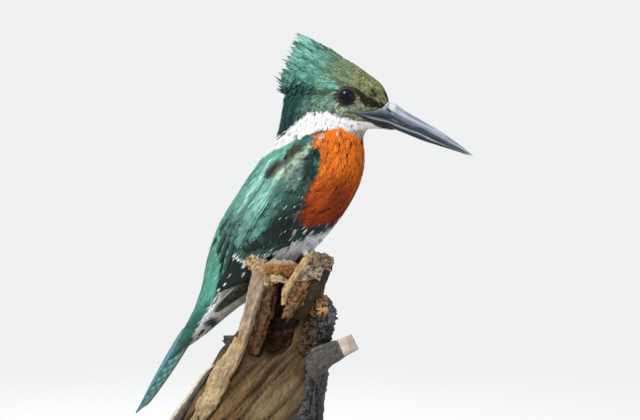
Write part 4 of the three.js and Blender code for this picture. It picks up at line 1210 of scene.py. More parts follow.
UPPER_GREY, UPPER_PALE, UPPER_DARK = (0.10, 0.135, 0.175), (0.40, 0.445, 0.50), (0.014, 0.018, 0.028)
RIDGE_GREY, TIP_BONE, SIDE_SHINE = (0.09, 0.11, 0.14), (0.60, 0.60, 0.58), (0.66, 0.67, 0.68)
BASE_DARK, NOSTRIL_DARK = (0.02, 0.022, 0.028), (0.012, 0.012, 0.014)
LOWER_DARK, LOWER_STREAK_AND_SHINE, LOWER_EDGE = (0.016, 0.019, 0.026), (0.24, 0.31, 0.38), (0.012, 0.013, 0.018)
GAPE_GREY, LOWER_TIP = (0.30, 0.30, 0.30), (0.5, 0.5, 0.5)


def mandible(stations, seed):
    """A mandible along its stations of x, ridge height, edge height and half width. Over the arch it goes
    the cosine of the angle across and the sine (to the power 1.15) up to the ridge; the flat side turns
    back a little hollow. Also gives the place along it, the height up its side from 0 to 1, long wavering
    lines (soft random, finer across the bill than along it), and whether a point is on the arch."""
    u = np.linspace(0, 1, BILL_ROWS)[:, None]
    arch = np.linspace(0, np.pi, ARCH_COLUMNS)[None]
    x, ridge, edge, half_width = (smooth_line(column, u) for column in stations.T)
    half_width = np.maximum(half_width, 0.12)
    boxy = 1 - 0.55 * ramp(u, 0.4, 0.2)
    across = half_width * np.sign(np.cos(arch)) * np.abs(np.cos(arch)) ** boxy
    height = edge + (ridge - edge) * np.maximum(np.sin(arch), 0) ** 1.15
    back = np.linspace(-1, 1, FLAT_COLUMNS + 2)[None, 1:-1]
    hollow = edge + (ridge - edge) * 0.12 * (1 - back**2)
    y = np.concatenate([across, half_width * back], 1)
    z = np.concatenate([height, hollow + 0 * back], 1)
    u = u + 0 * y
    around = np.concatenate([arch / np.pi + 0 * x, 2 + 0 * back + 0 * x], 1)
    side_height = np.where(around <= 1, np.sin(np.pi * np.minimum(around, 1)), -0.3)
    lines = cloud(np.stack([u * 14, side_height * 9, 0 * u], -1), 1.0, seed) * ramp(u, 0.99, 0.86)
    return np.stack([x + 0 * y, y, z], -1), u, side_height, lines, around <= 1


HORN = grained_finish("bill_horn", 1500, 0.36, 0.00015, detail=5, strength=0.35, stretch=(9, 1, 1), lean=31,
                      Coat_Weight=0.1, Coat_Roughness=0.25, Specular_IOR_Level=0.35)


def belt(value, middle, half_width):
    """1 in the middle of a soft belt and 0 beyond its half width."""
    return ramp(np.abs(value - middle), half_width, half_width * 0.35)


def bill_piece(name, slot, points, tint, flip):
    """A mandible's grid closed at both ends, in the place of its node, which has the slot's name."""
    piece = make_piece(name, points, tube_faces(*points.shape[:2], flip), HORN, slot, tint=tint)
    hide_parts(slot)


points, u, side_height, lines, on_arch = mandible(UPPER_BILL, 81)
nostril = belt(u, NOSTRIL_PLACE, 0.05) * belt(side_height, 0.52 - 2.4 * (u - NOSTRIL_PLACE), 0.12)
dark_edge = 0.95 * ramp(side_height + 0.25 * lines, 0.5, 0.24)
tint = painted(all_over(UPPER_GREY, u), [
    (UPPER_PALE, 0.85 * ramp(side_height, 0.42, 0.66) * ramp(lines, -0.7, 0.5)),
    (UPPER_DARK, dark_edge * ramp(u, 0.06, 0.2) * ramp(u, 1.0, 0.9)),
    (RIDGE_GREY, 0.7 * ramp(side_height, 0.95, 1.0) * ramp(u, 0.9, 0.5)),
    (TIP_BONE, ramp(u, 0.9, 0.985) * 0.85),
    (SIDE_SHINE, 0.9 * belt(u, 0.405, 0.05) * belt(side_height, 0.8, 0.3)),
    (BASE_DARK, 0.7 * ramp(u, 0.33, 0.22) * ramp(lines, 0.0, 0.4)),
    (NOSTRIL_DARK, nostril),
])
points[..., 1] -= np.sign(points[..., 1]) * 0.7 * nostril
points[..., 2] += 0.05 * lines * ramp(u, 0.2, 0.4) * on_arch
bill_piece("upper_mandible", "bill_upper", points, tint, flip=True)

points, u, side_height, lines, _ = mandible(LOWER_BILL, 82)
# The pale line along the lower mandible is partly its own blue-grey and partly a painted highlight.
streak_and_shine = 0.85 * belt(side_height + 0.12 * lines, 0.40, 0.17)
tint = painted(all_over(LOWER_DARK, u), [
    (LOWER_STREAK_AND_SHINE, streak_and_shine * ramp(u, 0.1, 0.3)),
    (LOWER_EDGE, 0.8 * ramp(side_height, 0.6, 0.85)),
    (GAPE_GREY, 0.6 * belt(side_height, 0.12, 0.12) * ramp(u, 0.3, 0.12)),
    (LOWER_TIP, ramp(u, 0.93, 1) * 0.7),
])
bill_piece("lower_mandible", "bill_lower", points, tint, flip=False)


# ---- Eyes ------------------------------------------------------------------------------------------
# Dark brown, nearly black eyes, a little flattened, that fill the ring of bare lid skin round them.
# The lids are narrow grey-olive rims that lie on the ball and sink into the feathers outside.

EYE_RADIUS, EYE_FLATNESS, EYE_TURN = 5.9, 0.72, np.radians(9)
EYE_ROWS, EYE_COLUMNS, LID_ROWS, LID_COLUMNS = 48, 64, 14, 96
PUPIL, IRIS, IRIS_RIM = (0.003, 0.0035, 0.006), (0.007, 0.006, 0.007), (0.06, 0.032, 0.02)
LID, LID_RIM, LID_OUTSIDE = (0.06, 0.05, 0.035), (0.03, 0.018, 0.012), (0.06, 0.07, 0.05)
# The two corners of the lids: the angle round the eye in degrees, and how far the rim draws out there.
CANTHI = ((-12, 0.5), (172, 0.35))


def eye_frame(local, side):
    """Turns points of an eye whose axis is y outwards: forward by the eye's turn, mirrored by the side,
    and moved to the eye's centre."""
    x, y, z = np.moveaxis(local, -1, 0)
    turned_x = x * np.cos(EYE_TURN) + y * np.sin(EYE_TURN)
    turned_y = y * np.cos(EYE_TURN) - x * np.sin(EYE_TURN)
    return np.stack([EYE_CENTRE[0] + turned_x, side * (EYE_CENTRE[1] + turned_y), EYE_CENTRE[2] + z], -1)


EYE_GLASS = grained_finish("eye_glass", 1200, 0.14, 0.00001, shade=(0.6, 1.4), strength=0.1,
                           Specular_IOR_Level=0.12, Coat_Weight=0.12, Coat_Roughness=0.04,
                           Specular_Tint=(0.35, 0.6, 1.0, 1))
LID_SKIN = feather_finish("lid_skin", 3000, 0.55)

for side_name, side in SIDES:
    turn, tilt = np.meshgrid(
        np.linspace(0, 2 * np.pi, EYE_COLUMNS, endpoint=False), np.linspace(0.02, np.pi - 0.02, EYE_ROWS)
    )
    ball_x, ball_z = np.sin(tilt) * np.cos(turn), np.sin(tilt) * np.sin(turn)
    ball = EYE_RADIUS * np.stack([ball_x, EYE_FLATNESS * np.cos(tilt), ball_z], -1)
    ball[..., 1] += 0.35 * np.exp(-((tilt / 0.55) ** 2))
    tint = painted(all_over(PUPIL, tilt), [
        (IRIS, ramp(tilt, 0.42, 0.5)),
        (IRIS_RIM, ramp(tilt, 0.84, 0.98) * ramp(tilt, 1.35, 1.2)),
    ])
    faces = tube_faces(EYE_ROWS, EYE_COLUMNS, flip=side > 0)
    eye = make_piece(f"eyeball_{side_name}", eye_frame(ball, side), faces, EYE_GLASS, "eye", tint=tint)
    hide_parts(f"eye_{side_name}")

    # The lid: from its inner rim on the ball, over a rounded roll, out and down into the skin.
    turn, across = np.meshgrid(
        np.linspace(0, 2 * np.pi, LID_COLUMNS, endpoint=False), np.linspace(0, 1, LID_ROWS)
    )
    canthus = 0
    for corner, drawn in CANTHI:
        away = np.abs(np.angle(np.exp(1j * (turn - np.radians(corner)))))
        canthus = canthus + drawn * np.exp(-((away / 0.45) ** 2))
    radius = 4.8 + canthus + 1.5 * across
    on_ball = np.sqrt(np.clip(1 - (np.minimum(radius, 5.7) / EYE_RADIUS) ** 2, 0, 1))
    roll = 0.2 + 0.4 * np.sin(np.pi * np.clip(across * 1.5, 0, 1)) - 1.0 * np.clip(across - 0.45, 0, 1)
    wrinkle = 0.06 * np.sin(turn * 34) * np.sin(np.pi * across)
    height = EYE_RADIUS * EYE_FLATNESS * on_ball + roll + wrinkle
    local = np.stack([radius * np.cos(turn), height, radius * np.sin(turn)], -1)
    inside = local - np.array([0, 0.9, 0]) * (0.3 + across[..., None])
    tint = painted(all_over(LID, turn), [
        (LID_RIM, ramp(across, 0.3, 0.1)),
        (LID_OUTSIDE, 0.8 * ramp(across, 0.6, 1)),
    ])
    tint = tint * (1 + 0.25 * cloud(local, 0.5, 91))[..., None]
    count = LID_ROWS * LID_COLUMNS
    rim = np.arange(LID_COLUMNS)
    following = (rim + 1) % LID_COLUMNS
    last = count - LID_COLUMNS
    faces = np.concatenate([
        grid_faces(LID_ROWS, LID_COLUMNS, wrapped=True),
        grid_faces(LID_ROWS, LID_COLUMNS, wrapped=True, start=count)[:, ::-1],
        np.stack([rim, following, following + count, rim + count], -1),
        np.stack([rim + last, rim + last + count, following + last + count, following + last], -1),
    ])
    make_piece(f"eyelids_{side_name}", [eye_frame(local, side), eye_frame(inside, side)],
               [faces[:, ::-1] if side > 0 else faces], LID_SKIN, "head_plumage", tint=[tint, tint])


# ---- Legs and feet ---------------------------------------------------------------------------------
# Very short legs with small weak feet: three toes forward and one back, gripping a ridge of the perch.
# Blackish scaly skin, ringed with scutes above, each toe ending in a curved black claw.

RIDGE = np.array([31.8, 141.4])
RIDGE_RADIUS, FOOT_SPACING, TOE_RADIUS = 8.2, 8.2, 1.45
TOE_WRAP = RIDGE_RADIUS + 0.3 + TOE_RADIUS
# Each toe: its length over the ridge, forward or back, and how far it spreads to the side.
TOES = [(13.5, 2.4), (15.5, 0.3), (10.5, -2.5), (-9, -0.6)]
CLAW_BLACK, SCUTE_BLACK = (0.015, 0.013, 0.012), (0.05, 0.042, 0.036)


def tube(centre, radius, columns=16, ribs=0.0, ribs_every=1.0):
    """A round limb along a row of centres: across each, a circle of that radius in the plane square to
    the path, with raised rings (scutes) spaced along it. Closed at both ends by fans."""
    along = unit(np.gradient(centre, axis=0))
    first = unit(np.cross(along, np.array([0.0, 1.0, 0.001])))
    second = np.cross(along, first)
    angle = np.linspace(0, 2 * np.pi, columns, endpoint=False)[None, :, None]
    walked = np.concatenate([[0], np.cumsum(np.linalg.norm(np.diff(centre, axis=0), axis=1))])
    rings = 1 + ribs * np.abs(np.sin(np.pi * walked / ribs_every))
    reach = (radius * rings)[:, None, None]
    points = centre[:, None] + reach * (np.cos(angle) * first[:, None] + np.sin(angle) * second[:, None])
    return points, *tube_faces(len(centre), columns)


def join_parts(parts):
    """Joins several shapes of points, quads and triangles into one, and tells which part a point is of."""
    start, points, quads, triangles, owner = 0, [], [], [], []
    for number, (part_points, part_quads, part_ends) in enumerate(parts):
        part_points = part_points.reshape(-1, 3)
        points.append(part_points)
        quads.append(part_quads + start)
        triangles.append(part_ends + start)
        owner.append(np.full(len(part_points), number))
        start += len(part_points)
    return np.concatenate(points), [np.concatenate(quads), np.concatenate(triangles)], np.concatenate(owner)


def toe_line(length, sideways, side, s, reach):
    """Points of a toe at s along its length: round the ridge it holds at that reach from the middle, and
    spreading to the side."""
    angle = length * s / TOE_WRAP + np.sign(length) * 0.06
    y = side * (FOOT_SPACING + sideways * (0.55 + 0.75 * s))
    return np.stack([RIDGE[0] + reach * np.sin(angle), y, RIDGE[1] + reach * np.cos(angle)], -1)


for side_name, side in SIDES:
    limbs = []
    for length, sideways in TOES:
        s = np.linspace(0, 0.78, 40)
        pads = TOE_RADIUS * (1.1 - 0.25 * s) * (1 + 0.07 * np.cos(s * 24))
        pads = pads * np.sqrt(np.clip((0.79 - s) / 0.06, 0.05, 1))
        toe = toe_line(length, sideways, side, s, TOE_WRAP + 0.15)
        limbs.append(tube(toe, pads, ribs=0.09, ribs_every=0.95))
        s = np.linspace(0.7, 1.04, 24)
        hook = np.clip((s - 0.7) / 0.34, 0, 1)
        reach = TOE_WRAP + 0.75 * np.sin(np.pi * np.clip(hook * 0.9, 0, 1)) - 1.2 * hook**3
        claw = toe_line(length, sideways, side, s, reach)
        limbs.append(tube(claw, 0.85 * np.sqrt(np.clip(1 - hook, 0.004, 1)), columns=12))
    top = RIDGE[1] + RIDGE_RADIUS
    s = np.linspace(0, 1, 30)
    shank = np.stack([RIDGE[0] - 0.3 - 4.2 * s, 0 * s + side * FOOT_SPACING, top + 0.6 + 9.0 * s], -1)
    girth = 2.3 - 0.6 * np.sin(np.pi * np.clip(s * 1.6, 0, 1)) + 1.4 * s**3
    limbs.append(tube(shank, girth, ribs=0.08, ribs_every=1.1))
    points, face_sets, owner = join_parts(limbs)
    on_shank = owner == 2 * len(TOES)
    claws = (owner % 2 == 1) & ~on_shank
    tint = np.where(claws[:, None], CLAW_BLACK, SCUTE_BLACK)
    tint = mix(tint, BELLY_WHITE, on_shank * ramp(points[:, 2], 150.2, 152.6))
    tint = tint * (1 + 0.35 * cloud(points, 0.7, 95))[:, None]
    foot = make_piece(f"foot_skin_{side_name}", points, face_sets, LID_SKIN, "leg_skin", tint=tint)
    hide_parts(f"foot_{side_name}", f"leg_{side_name}")


# ---- Perch -----------------------------------------------------------------------------------------
# A short length of dead, broken branch: the split heart of a trunk, weathered tan, with a rotted hollow
# in its right side, planks and spikes of torn wood round it, grey bark on the front, and a sawn twig.

STUMP = [(-17, 2, 30, 42, 29), (-8.5, 2, 52, 36.5, 29), (3, 2, 78, 32, 28), (13, 2, 100, 25, 26),
         (20, 1, 124, 18, 24), (27, 1, 146, 13, 20)]
HOLLOW = np.array([(12, 88, 4), (14, 98, 11), (15, 112, 13.5), (19, 126, 12), (23, 141, 7)])
SAW_CUT = 42.0


def wood_section(angle, squareness):
    """Radius of a section between a circle (2) and a square (high numbers): the superellipse."""
    return (np.abs(np.cos(angle)) ** squareness + np.abs(np.sin(angle)) ** squareness) ** (-1 / squareness)


def timber(path, rows, columns, squareness, seed, groove, crack, lump, jag=0.0, crumble=0.0, plates=0.0):
    """A length of split wood. Its centre, half width and half depth follow smooth lines through the path,
    and the last few rows close flat over its end; round it runs a superellipse. The surface is let in by
    grain lines (random drawn out along the path), by cracks where that random is near zero, and by
    lumps; crumbs stand out with creases between, and plates of bark with fissures. Both ends are torn: it
    reaches on by different amounts round the section. Gives points, both sets of faces, how deep each
    point is, the place along it, and fine grain."""
    path = np.asarray(path, float)
    s = np.linspace(0, 1, rows)[:, None]
    held = np.minimum(s[:, 0] / 0.97, 1)
    angle = np.linspace(0, 2 * np.pi, columns, endpoint=False)[None]
    line = np.stack([smooth_line(column, held) for column in path.T], -1)
    ahead, behind = (
        np.stack([smooth_line(column, held + step) for column in path.T[:3]], -1) for step in (0.01, -0.01)
    )
    centre, wide, deep, along = line[:, :3], line[:, 3:4], line[:, 4:5], unit(ahead - behind)
    upright = np.where(np.abs(along[:, 1:2]) > 0.8, [[0.0, 0.0, 1.0]], [[0.0, 1.0, 0.0]])
    first = unit(np.cross(upright, along))
    second = np.cross(along, first)
    walked = np.concatenate([[0], np.cumsum(np.linalg.norm(np.diff(centre, axis=0), axis=1))])[:, None]
    mean = (wide + deep) / 2
    round_place = np.stack([np.cos(angle) * mean, np.sin(angle) * mean, 0 * angle + walked * 0.04], -1)
    grain = cloud(round_place, 1.5, seed) + 0.6 * cloud(round_place, 0.8, seed + 1)
    coarse = cloud(round_place * (1, 1, 2), 4.5, seed + 2)
    split = ramp(np.abs(cloud(round_place * (1, 1, 1.5), 2.8, seed + 3)), 0.1, 0.0)
    fine = cloud(round_place, 0.5, seed + 11)
    section_place = round_place * (1, 1, 0)
    tearing = cloud(section_place, 1.6, seed + 4) + 0.7 * cloud(section_place, 0.7, seed + 5)
    far = ramp(s, 0.5, 1.0) ** 2 - 0.8 * ramp(s, 0.35, 0.0) ** 2
    closing = 1 - 0.96 * np.clip((s - 0.97) / 0.03, 0, 1)
    size = closing * (1 - 0.2 * np.abs(far) * np.clip(jag, 0, 1)) * wood_section(angle, squareness)
    offset = (wide * size * np.cos(angle))[..., None] * first[:, None]
    offset = offset + (deep * size * np.sin(angle))[..., None] * second[:, None]
    points = centre[:, None] + offset
    crumbs = 2.6 * np.abs(cloud(points, 3.1, seed + 6)) + 2.0 * np.abs(cloud(points, 1.5, seed + 7)) - 1.3
    wide_cell = np.abs(cloud(points * (1, 1, 0.4), 4.0, seed + 8))
    small_cell = np.abs(cloud(points * (1, 1, 0.6), 2.0, seed + 9))
    fissure = ramp(wide_cell, 0.16, 0.0) + 0.5 * ramp(small_cell, 0.14, 0.0)
    let_in = groove * 0.4 * (grain + coarse) + crack * split - crumble * crumbs
    let_in = let_in - lump * cloud(points, 8, seed + 10) + plates * fissure
    points = points - unit(offset) * (let_in * np.minimum(mean / 5, 1) * closing)[..., None]
    points = points + along[:, None] * (jag * far * tearing * np.sqrt(closing))[..., None]
    points[..., 2] = np.maximum(points[..., 2], SAW_CUT)
    depth = 0.5 * (grain + coarse) * groove + 1.2 * split * crack + fissure * plates - crumble * crumbs
    return points, tube_faces(rows, columns), np.clip(depth, -1, 2.5), s + 0 * angle, fine


def wood_tint(points, depth, fine, light, dark, seed, speckle=0.22):
    """Weathered wood: the light colour on the ridges and the dark one in the grooves, lined and clouded."""
    tint = mix(all_over(light, depth), dark, ramp(depth, -0.4, 1.2))
    patches = cloud(points, 11, seed) * 0.6 + cloud(points, 3.5, seed + 1) * 0.5
    return tint * (1 + speckle * patches + 0.3 * fine)[..., None]


DEAD_WOOD = grained_finish("dead_wood", 1300, 0.85, 0.0004, shade=(0.6, 1.34), detail=5, strength=0.75,
                           stretch=(1, 1, 7), lean=24, Specular_IOR_Level=0.15)

TAN, TAN_DARK = (0.36, 0.265, 0.155), (0.10, 0.06, 0.028)
PALE, PALE_DARK = (0.46, 0.34, 0.19), (0.22, 0.14, 0.07)
HEART, HEART_DARK = (0.175, 0.11, 0.047), (0.04, 0.024, 0.01)
# HEART_SHADE and the pit's dark are painted shade; the hollow's dark is painted shade and the dark of its
# rot.
HEART_PALE, HEART_SHADE, PIT_SHADE = (0.24, 0.175, 0.095), (0.075, 0.045, 0.02), (0.02, 0.014, 0.009)
HOLLOW_SHADE_AND_ROT, ROT_RED = (0.03, 0.018, 0.009), (0.12, 0.058, 0.024)
GREY_BARK, GREY_DARK = (0.095, 0.09, 0.085), (0.016, 0.015, 0.014)
RED_HEART, RED_DARK = (0.30, 0.14, 0.048), (0.06, 0.026, 0.01)
RUST, RUST_DARK = (0.21, 0.11, 0.045), (0.04, 0.02, 0.009)
CRUMB, CRUMB_DARK = (0.33, 0.26, 0.19), (0.06, 0.038, 0.022)
SPIKE, SPIKE_DARK = (0.075, 0.068, 0.066), (0.02, 0.018, 0.017)
SLAB_TAN, SLAB_DARK = (0.37, 0.275, 0.18), (0.16, 0.10, 0.055)
ROTTEN_IN_SHADE, ROTTEN_IN_SHADE_DARK = (0.15, 0.078, 0.032), (0.03, 0.016, 0.008)
SHADED, SHADED_DARK = (0.046, 0.03, 0.014), (0.022, 0.013, 0.007)
WEATHERED, TWIG_GREY, COLLAR_BARK = (0.15, 0.14, 0.125), (0.12, 0.112, 0.098), (0.06, 0.054, 0.048)
YELLOW_CRUMB, KNOB_BROWN = (0.50, 0.34, 0.15), (0.22, 0.16, 0.105)
LIP_TAN, PRONG_LIT_TAN = (0.50, 0.37, 0.21), (0.44, 0.31, 0.15)


def hollow_depth(points):
    """How far a point on the right side is sunk by the hollow: full along its middle line, none past
    its half width, with a steep wall between; and by a small pit at its lower left."""
    x, y, z = np.moveaxis(points, -1, 0)
    middle = np.interp(z, HOLLOW[:, 1], HOLLOW[:, 0])
    half = np.interp(z, HOLLOW[:, 1], HOLLOW[:, 2]) * ramp(z + cloud(points, 3, 153), 86, 92)
    wall = cloud(points, 4, 151) * 1.5
    main = ramp(np.abs(x - middle) + wall, half + 1.5, half - 2.5) * (half > 1)
    return np.maximum(main, 0.6 * blot(x, z, (3, 94), (8, 8))) * ramp(y, 4, -8)


# The heart itself. Its grain leans up to the right, and it has split along it into stepped layers.
points, faces, depth, s, fine = timber(STUMP, 260, 190, 2.5, 101, groove=0.5, crack=0.4, lump=1.2)
x, y, z = np.moveaxis(points, -1, 0)
laid = np.stack([x * 0.74 - z * 0.67, y * 0.4, (x * 0.67 + z * 0.74) * 0.06], -1)
step = (laid[..., 0] / 9.5 + 0.5 * cloud(laid, 7, 154)) % 1
step = np.where(step < 0.8, step / 0.8, (1 - step) / 0.2)
layered = ramp(z, 94, 84) * ramp(y, 2, -10)
points[..., 1] -= layered * (2.0 * step + 0.5 * cloud(laid, 1.3, 155))
sunk = hollow_depth(points)
crumbling = 1.5 - 4.5 * np.abs(cloud(points, 3.8, 152)) - 2.5 * np.abs(cloud(points, 1.9, 156))
points[..., 1] += 15 * sunk + sunk * crumbling
rings = cloud(laid, 0.9, 161) + 0.8 * cloud(laid, 2.4, 162)
# Painted shade in the heart's colours: over its upper part, in the pit at the lower left, and in a band under
# the pale plank.
tint = painted(all_over(HEART, s), [
    (HEART_DARK, ramp(rings + 0.5 * depth, -0.7, 1.3)),
    (HEART_PALE, 0.6 * blot(x, z, (15, 62), (26, 12), 35)),
    (PIT_SHADE, 0.8 * blot(x, z + 2 * cloud(points, 3, 157), (4, 92), (9, 7), 25)),
    (HEART_SHADE, 0.75 * ramp(z + 4 * cloud(points, 6, 163), 74, 84)),
    (HEART_DARK, 0.7 * stripe(x, z, [(-40, 46), (-22, 66), (-6, 84)], 7)),
])
# Painted shade on the drop of each step and in the hollow, with the dark of its rot; the bark's grey over the
# lower right is also painted shade.
bark_and_shade = 0.85 * ramp(x - 0.5 * z + 1.5 * cloud(points, 3, 165), -4.5, -1.5)
tint = painted(tint * (1 - 0.5 * layered * ramp(step, 0.3, 0.0) + 0.2 * fine)[..., None], [
    (HOLLOW_SHADE_AND_ROT, np.clip(sunk * 1.2, 0, 1)),
    (ROT_RED, 0.7 * sunk * ramp(cloud(points, 3.5, 164), 0.0, 0.6)),
    (GREY_BARK, bark_and_shade * ramp(z, 100, 92)),
])
stump = make_piece("perch_heart", points, faces, DEAD_WOOD, "dead_wood", tint=tint)
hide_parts("perch")

# Torn planks and spikes: path of x, y, z, half width and half depth; squareness of the section; grain,
# cracks, lumps, torn end and crumbs; light and dark colour.
SPLINTERS = [
    # the pale plank behind the hollow, the grey plank outside it and the dark spike over them
    ([(-37.5, -22.5, 44, 5, 4), (-28.5, -24, 59, 5.4, 4.4), (-21.5, -25.4, 71, 6.4, 4.6),
      (-16, -26, 82, 6.8, 4.4), (-11.5, -25.8, 91.5, 6, 4), (-7.5, -25, 99.5, 4.4, 3.4)],
     5, 0.4, 0.4, 2.0, 2.0, 0.3, PALE, PALE_DARK),
    ([(-57, -8, 38, 5.4, 12), (-49, -9, 52, 4.4, 11), (-42, -10, 62, 3.6, 9.6), (-31, -12, 78, 2.6, 7),
      (-22, -14, 86, 1.2, 2)], 3, 0.5, 0.5, 0.6, 2.0, 0.1, WEATHERED, GREY_DARK),
    ([(-2, -14, 93, 7, 4), (-8, -14.6, 95.5, 6, 3.6), (-14, -15, 97.6, 4.6, 3),
      (-20, -15.6, 99.4, 2.6, 2)], 5, 0.5, 0.5, 0.6, 2.5, 0.2, SPIKE, SPIKE_DARK),
    # a plank on the far side
    ([(-14, 20, 62, 12, 7), (-6, 21, 86, 11, 6.6), (2, 22, 104, 9, 6), (12, 21.5, 130, 6, 4.5),
      (17, 21.5, 141, 2, 2)], 3.5, 0.8, 1.0, 0.8, 3.5, 0.0, TAN, TAN_DARK),
    # the slab left of the hollow, its rotten inner face darkened by painted shade, and its crumbling top
    ([(-9, -23.5, 88, 3, 4), (-5.5, -24.5, 100, 3, 4), (-2, -25, 113, 3.4, 4.2),
      (1.4, -25.3, 124, 4.2, 4.2), (4.4, -25.5, 134.5, 5.2, 4.2), (6.4, -25.5, 144, 5.6, 4.2),
      (6.6, -25.5, 150, 4, 3.6)], 5, 0.5, 0.4, 1.3, 1.0, 0.3, SLAB_TAN, SLAB_DARK),
    ([(-1.5, -17.5, 92, 4.4, 4), (3.5, -19.5, 108, 5.2, 4), (8.5, -20.8, 125, 5.4, 4.2),
      (12.5, -21.5, 138, 5, 4)], 3, 0.6, 0.8, 1.4, 1.0, 0.7, ROTTEN_IN_SHADE, ROTTEN_IN_SHADE_DARK),
    ([(-2.5, -25, 149.5, 2.6, 2.8), (1, -25.2, 148.4, 3.8, 3.6), (5, -25.5, 145.5, 4.2, 4.0),
      (9, -25, 141, 3.4, 3.4)], 2.4, 0.3, 0.3, 0.8, 1.0, 0.9, YELLOW_CRUMB, CRUMB_DARK),
    # the arch over the hollow and the lip under it
    ([(3, -24.5, 130, 4.6, 3.4), (7.5, -25.2, 139.5, 5.4, 3.8), (15, -25.6, 143.6, 5.4, 4),
      (23, -25, 144.4, 5.2, 4), (31, -23, 142.5, 5, 4.4)],
     3.4, 0.5, 0.5, 0.8, 0.8, 0.7, RED_HEART, RED_DARK),
    ([(9, -27, 133.5, 1.8, 1.6), (13, -28.4, 137, 2.6, 2), (19, -28.6, 138.6, 2.4, 1.8),
      (25, -28, 137, 1.4, 1.2)], 2.5, 0.4, 0.4, 0.6, 1.2, 0.8, LIP_TAN, TAN_DARK),
    # the prong right of the hollow: its pale edge, partly painted light, rotten inside, its face in painted
    # shade, and crumbling knobs
    ([(21.5, -26.5, 123, 1.6, 2.4), (23.8, -27.5, 131, 2.4, 3.2), (28.8, -28, 139.5, 2.4, 3.2),
      (35, -27.8, 148, 2.6, 3), (40, -26.5, 154, 1.6, 2)],
     4, 0.4, 0.3, 0.9, 1.6, 0.4, PRONG_LIT_TAN, TAN_DARK),
    ([(36, -24.6, 141, 4.6, 4), (31, -25, 132, 5.6, 4.2), (27, -25, 123, 4.8, 3.8),
      (22.8, -24.8, 115, 3, 3)], 3, 0.5, 0.5, 1.4, 3.5, 0.8, RUST, RUST_DARK),
    ([(29, -18, 114, 3.4, 4), (31.5, -19.5, 121, 5.6, 5.2), (34.5, -20.5, 128, 6.4, 6),
      (38, -21, 135, 6.4, 6.4), (42, -21, 142, 6, 6.4), (45, -21, 147, 4.6, 5.4)],
     4, 0.3, 0.3, 1.2, 0.6, 0.25, SHADED, SHADED_DARK),
    ([(36, -24, 145, 4.5, 4.6), (40.5, -23.5, 148.5, 5.6, 5.4), (46, -22.6, 149, 5.4, 5.4),
      (50, -22, 146, 3.8, 4.4)], 2.3, 0.3, 0.3, 1.2, 0.8, 0.9, KNOB_BROWN, CRUMB_DARK),
    ([(30, -25.5, 137, 3.4, 3), (34.5, -27, 141.5, 4.6, 3.6), (39.5, -27, 143, 4.8, 3.6),
      (45, -25.5, 141, 3.4, 3)], 2.4, 0.3, 0.3, 1.0, 0.6, 1.0, CRUMB, CRUMB_DARK),
    # the sawn twig, and the ridge of wood the feet hold
    ([(34, -8, 84, 8.5, 8), (42, -12, 90, 7.4, 7), (49, -15.5, 93.2, 6.4, 6.2),
      (54, -17.8, 95.4, 5.6, 5.6), (62.5, -21, 99.4, 5.2, 5.0)],
     12, 0.35, 0.4, 0.3, 0.0, 0.0, TWIG_GREY, GREY_DARK),
    ([(27, 22, 130, 5, 5), (31.8, 13, 141.2, 7.7, 7.7), (31.8, 0, 141.2, 7.8, 7.8),
      (31.8, -13, 141.2, 7.7, 7.7), (35, -22, 143, 7, 7)],
     2, 0.4, 0.5, 0.4, 0.0, 0.2, RED_HEART, RED_DARK),
]
OUTER_PLANK, SLAB, ARCH, TWIG = 1, 4, 7, 14
SPLIT_WHITE, SLAB_GREY, ARCH_GREY = (0.64, 0.56, 0.43), (0.30, 0.25, 0.20), (0.36, 0.28, 0.19)
SAWN_WOOD = (0.55, 0.46, 0.40)


def splinter_marks(number, points, s, fine):
    """The coats that only one of the torn planks has."""
    x, y, z = np.moveaxis(points, -1, 0)
    if number == OUTER_PLANK:
        turn = np.linspace(0, 2 * np.pi, points.shape[1], endpoint=False)
        edge = np.cos(turn) + 0.15 * cloud(points, 3, 171)
        right_half = ramp(y + 3 * cloud(points, 5, 174), -5, -12)
        return [(SPLIT_WHITE, ramp(edge, -0.15, -0.4) * right_half)]
    if number == SLAB:
        return [(SLAB_GREY, 0.6 * ramp(z, 120, 140) * ramp(cloud(points, 4, 172), -0.3, 0.4))]
    if number == ARCH:
        left_end = ramp(x + 2 * cloud(points, 3, 173), 9, 5)
        return [(ARCH_GREY, np.maximum(ramp(z, 146.5, 148.5), left_end))]
    if number == TWIG:
        return [(SAWN_WOOD * (1 + 0.2 * fine[..., None]), ramp(s, 0.83, 0.85))]
    return []


parts, tints = [], []
for number, (path, squareness, groove, crack, lump, jag, crumble, light, dark) in enumerate(SPLINTERS):
    points, faces, depth, s, fine = timber(
        path, 90, 56, squareness, 200 + 20 * number, groove, crack, lump, jag, crumble
    )
    tint = wood_tint(points, depth, fine, light, dark, 400 + 5 * number)
    parts.append((points, *faces))
    tints.append(painted(tint, splinter_marks(number, points, s, fine)))
points, face_sets, _ = join_parts(parts)
make_piece("perch_splinters", points, face_sets, DEAD_WOOD, "dead_wood", tint=tints)

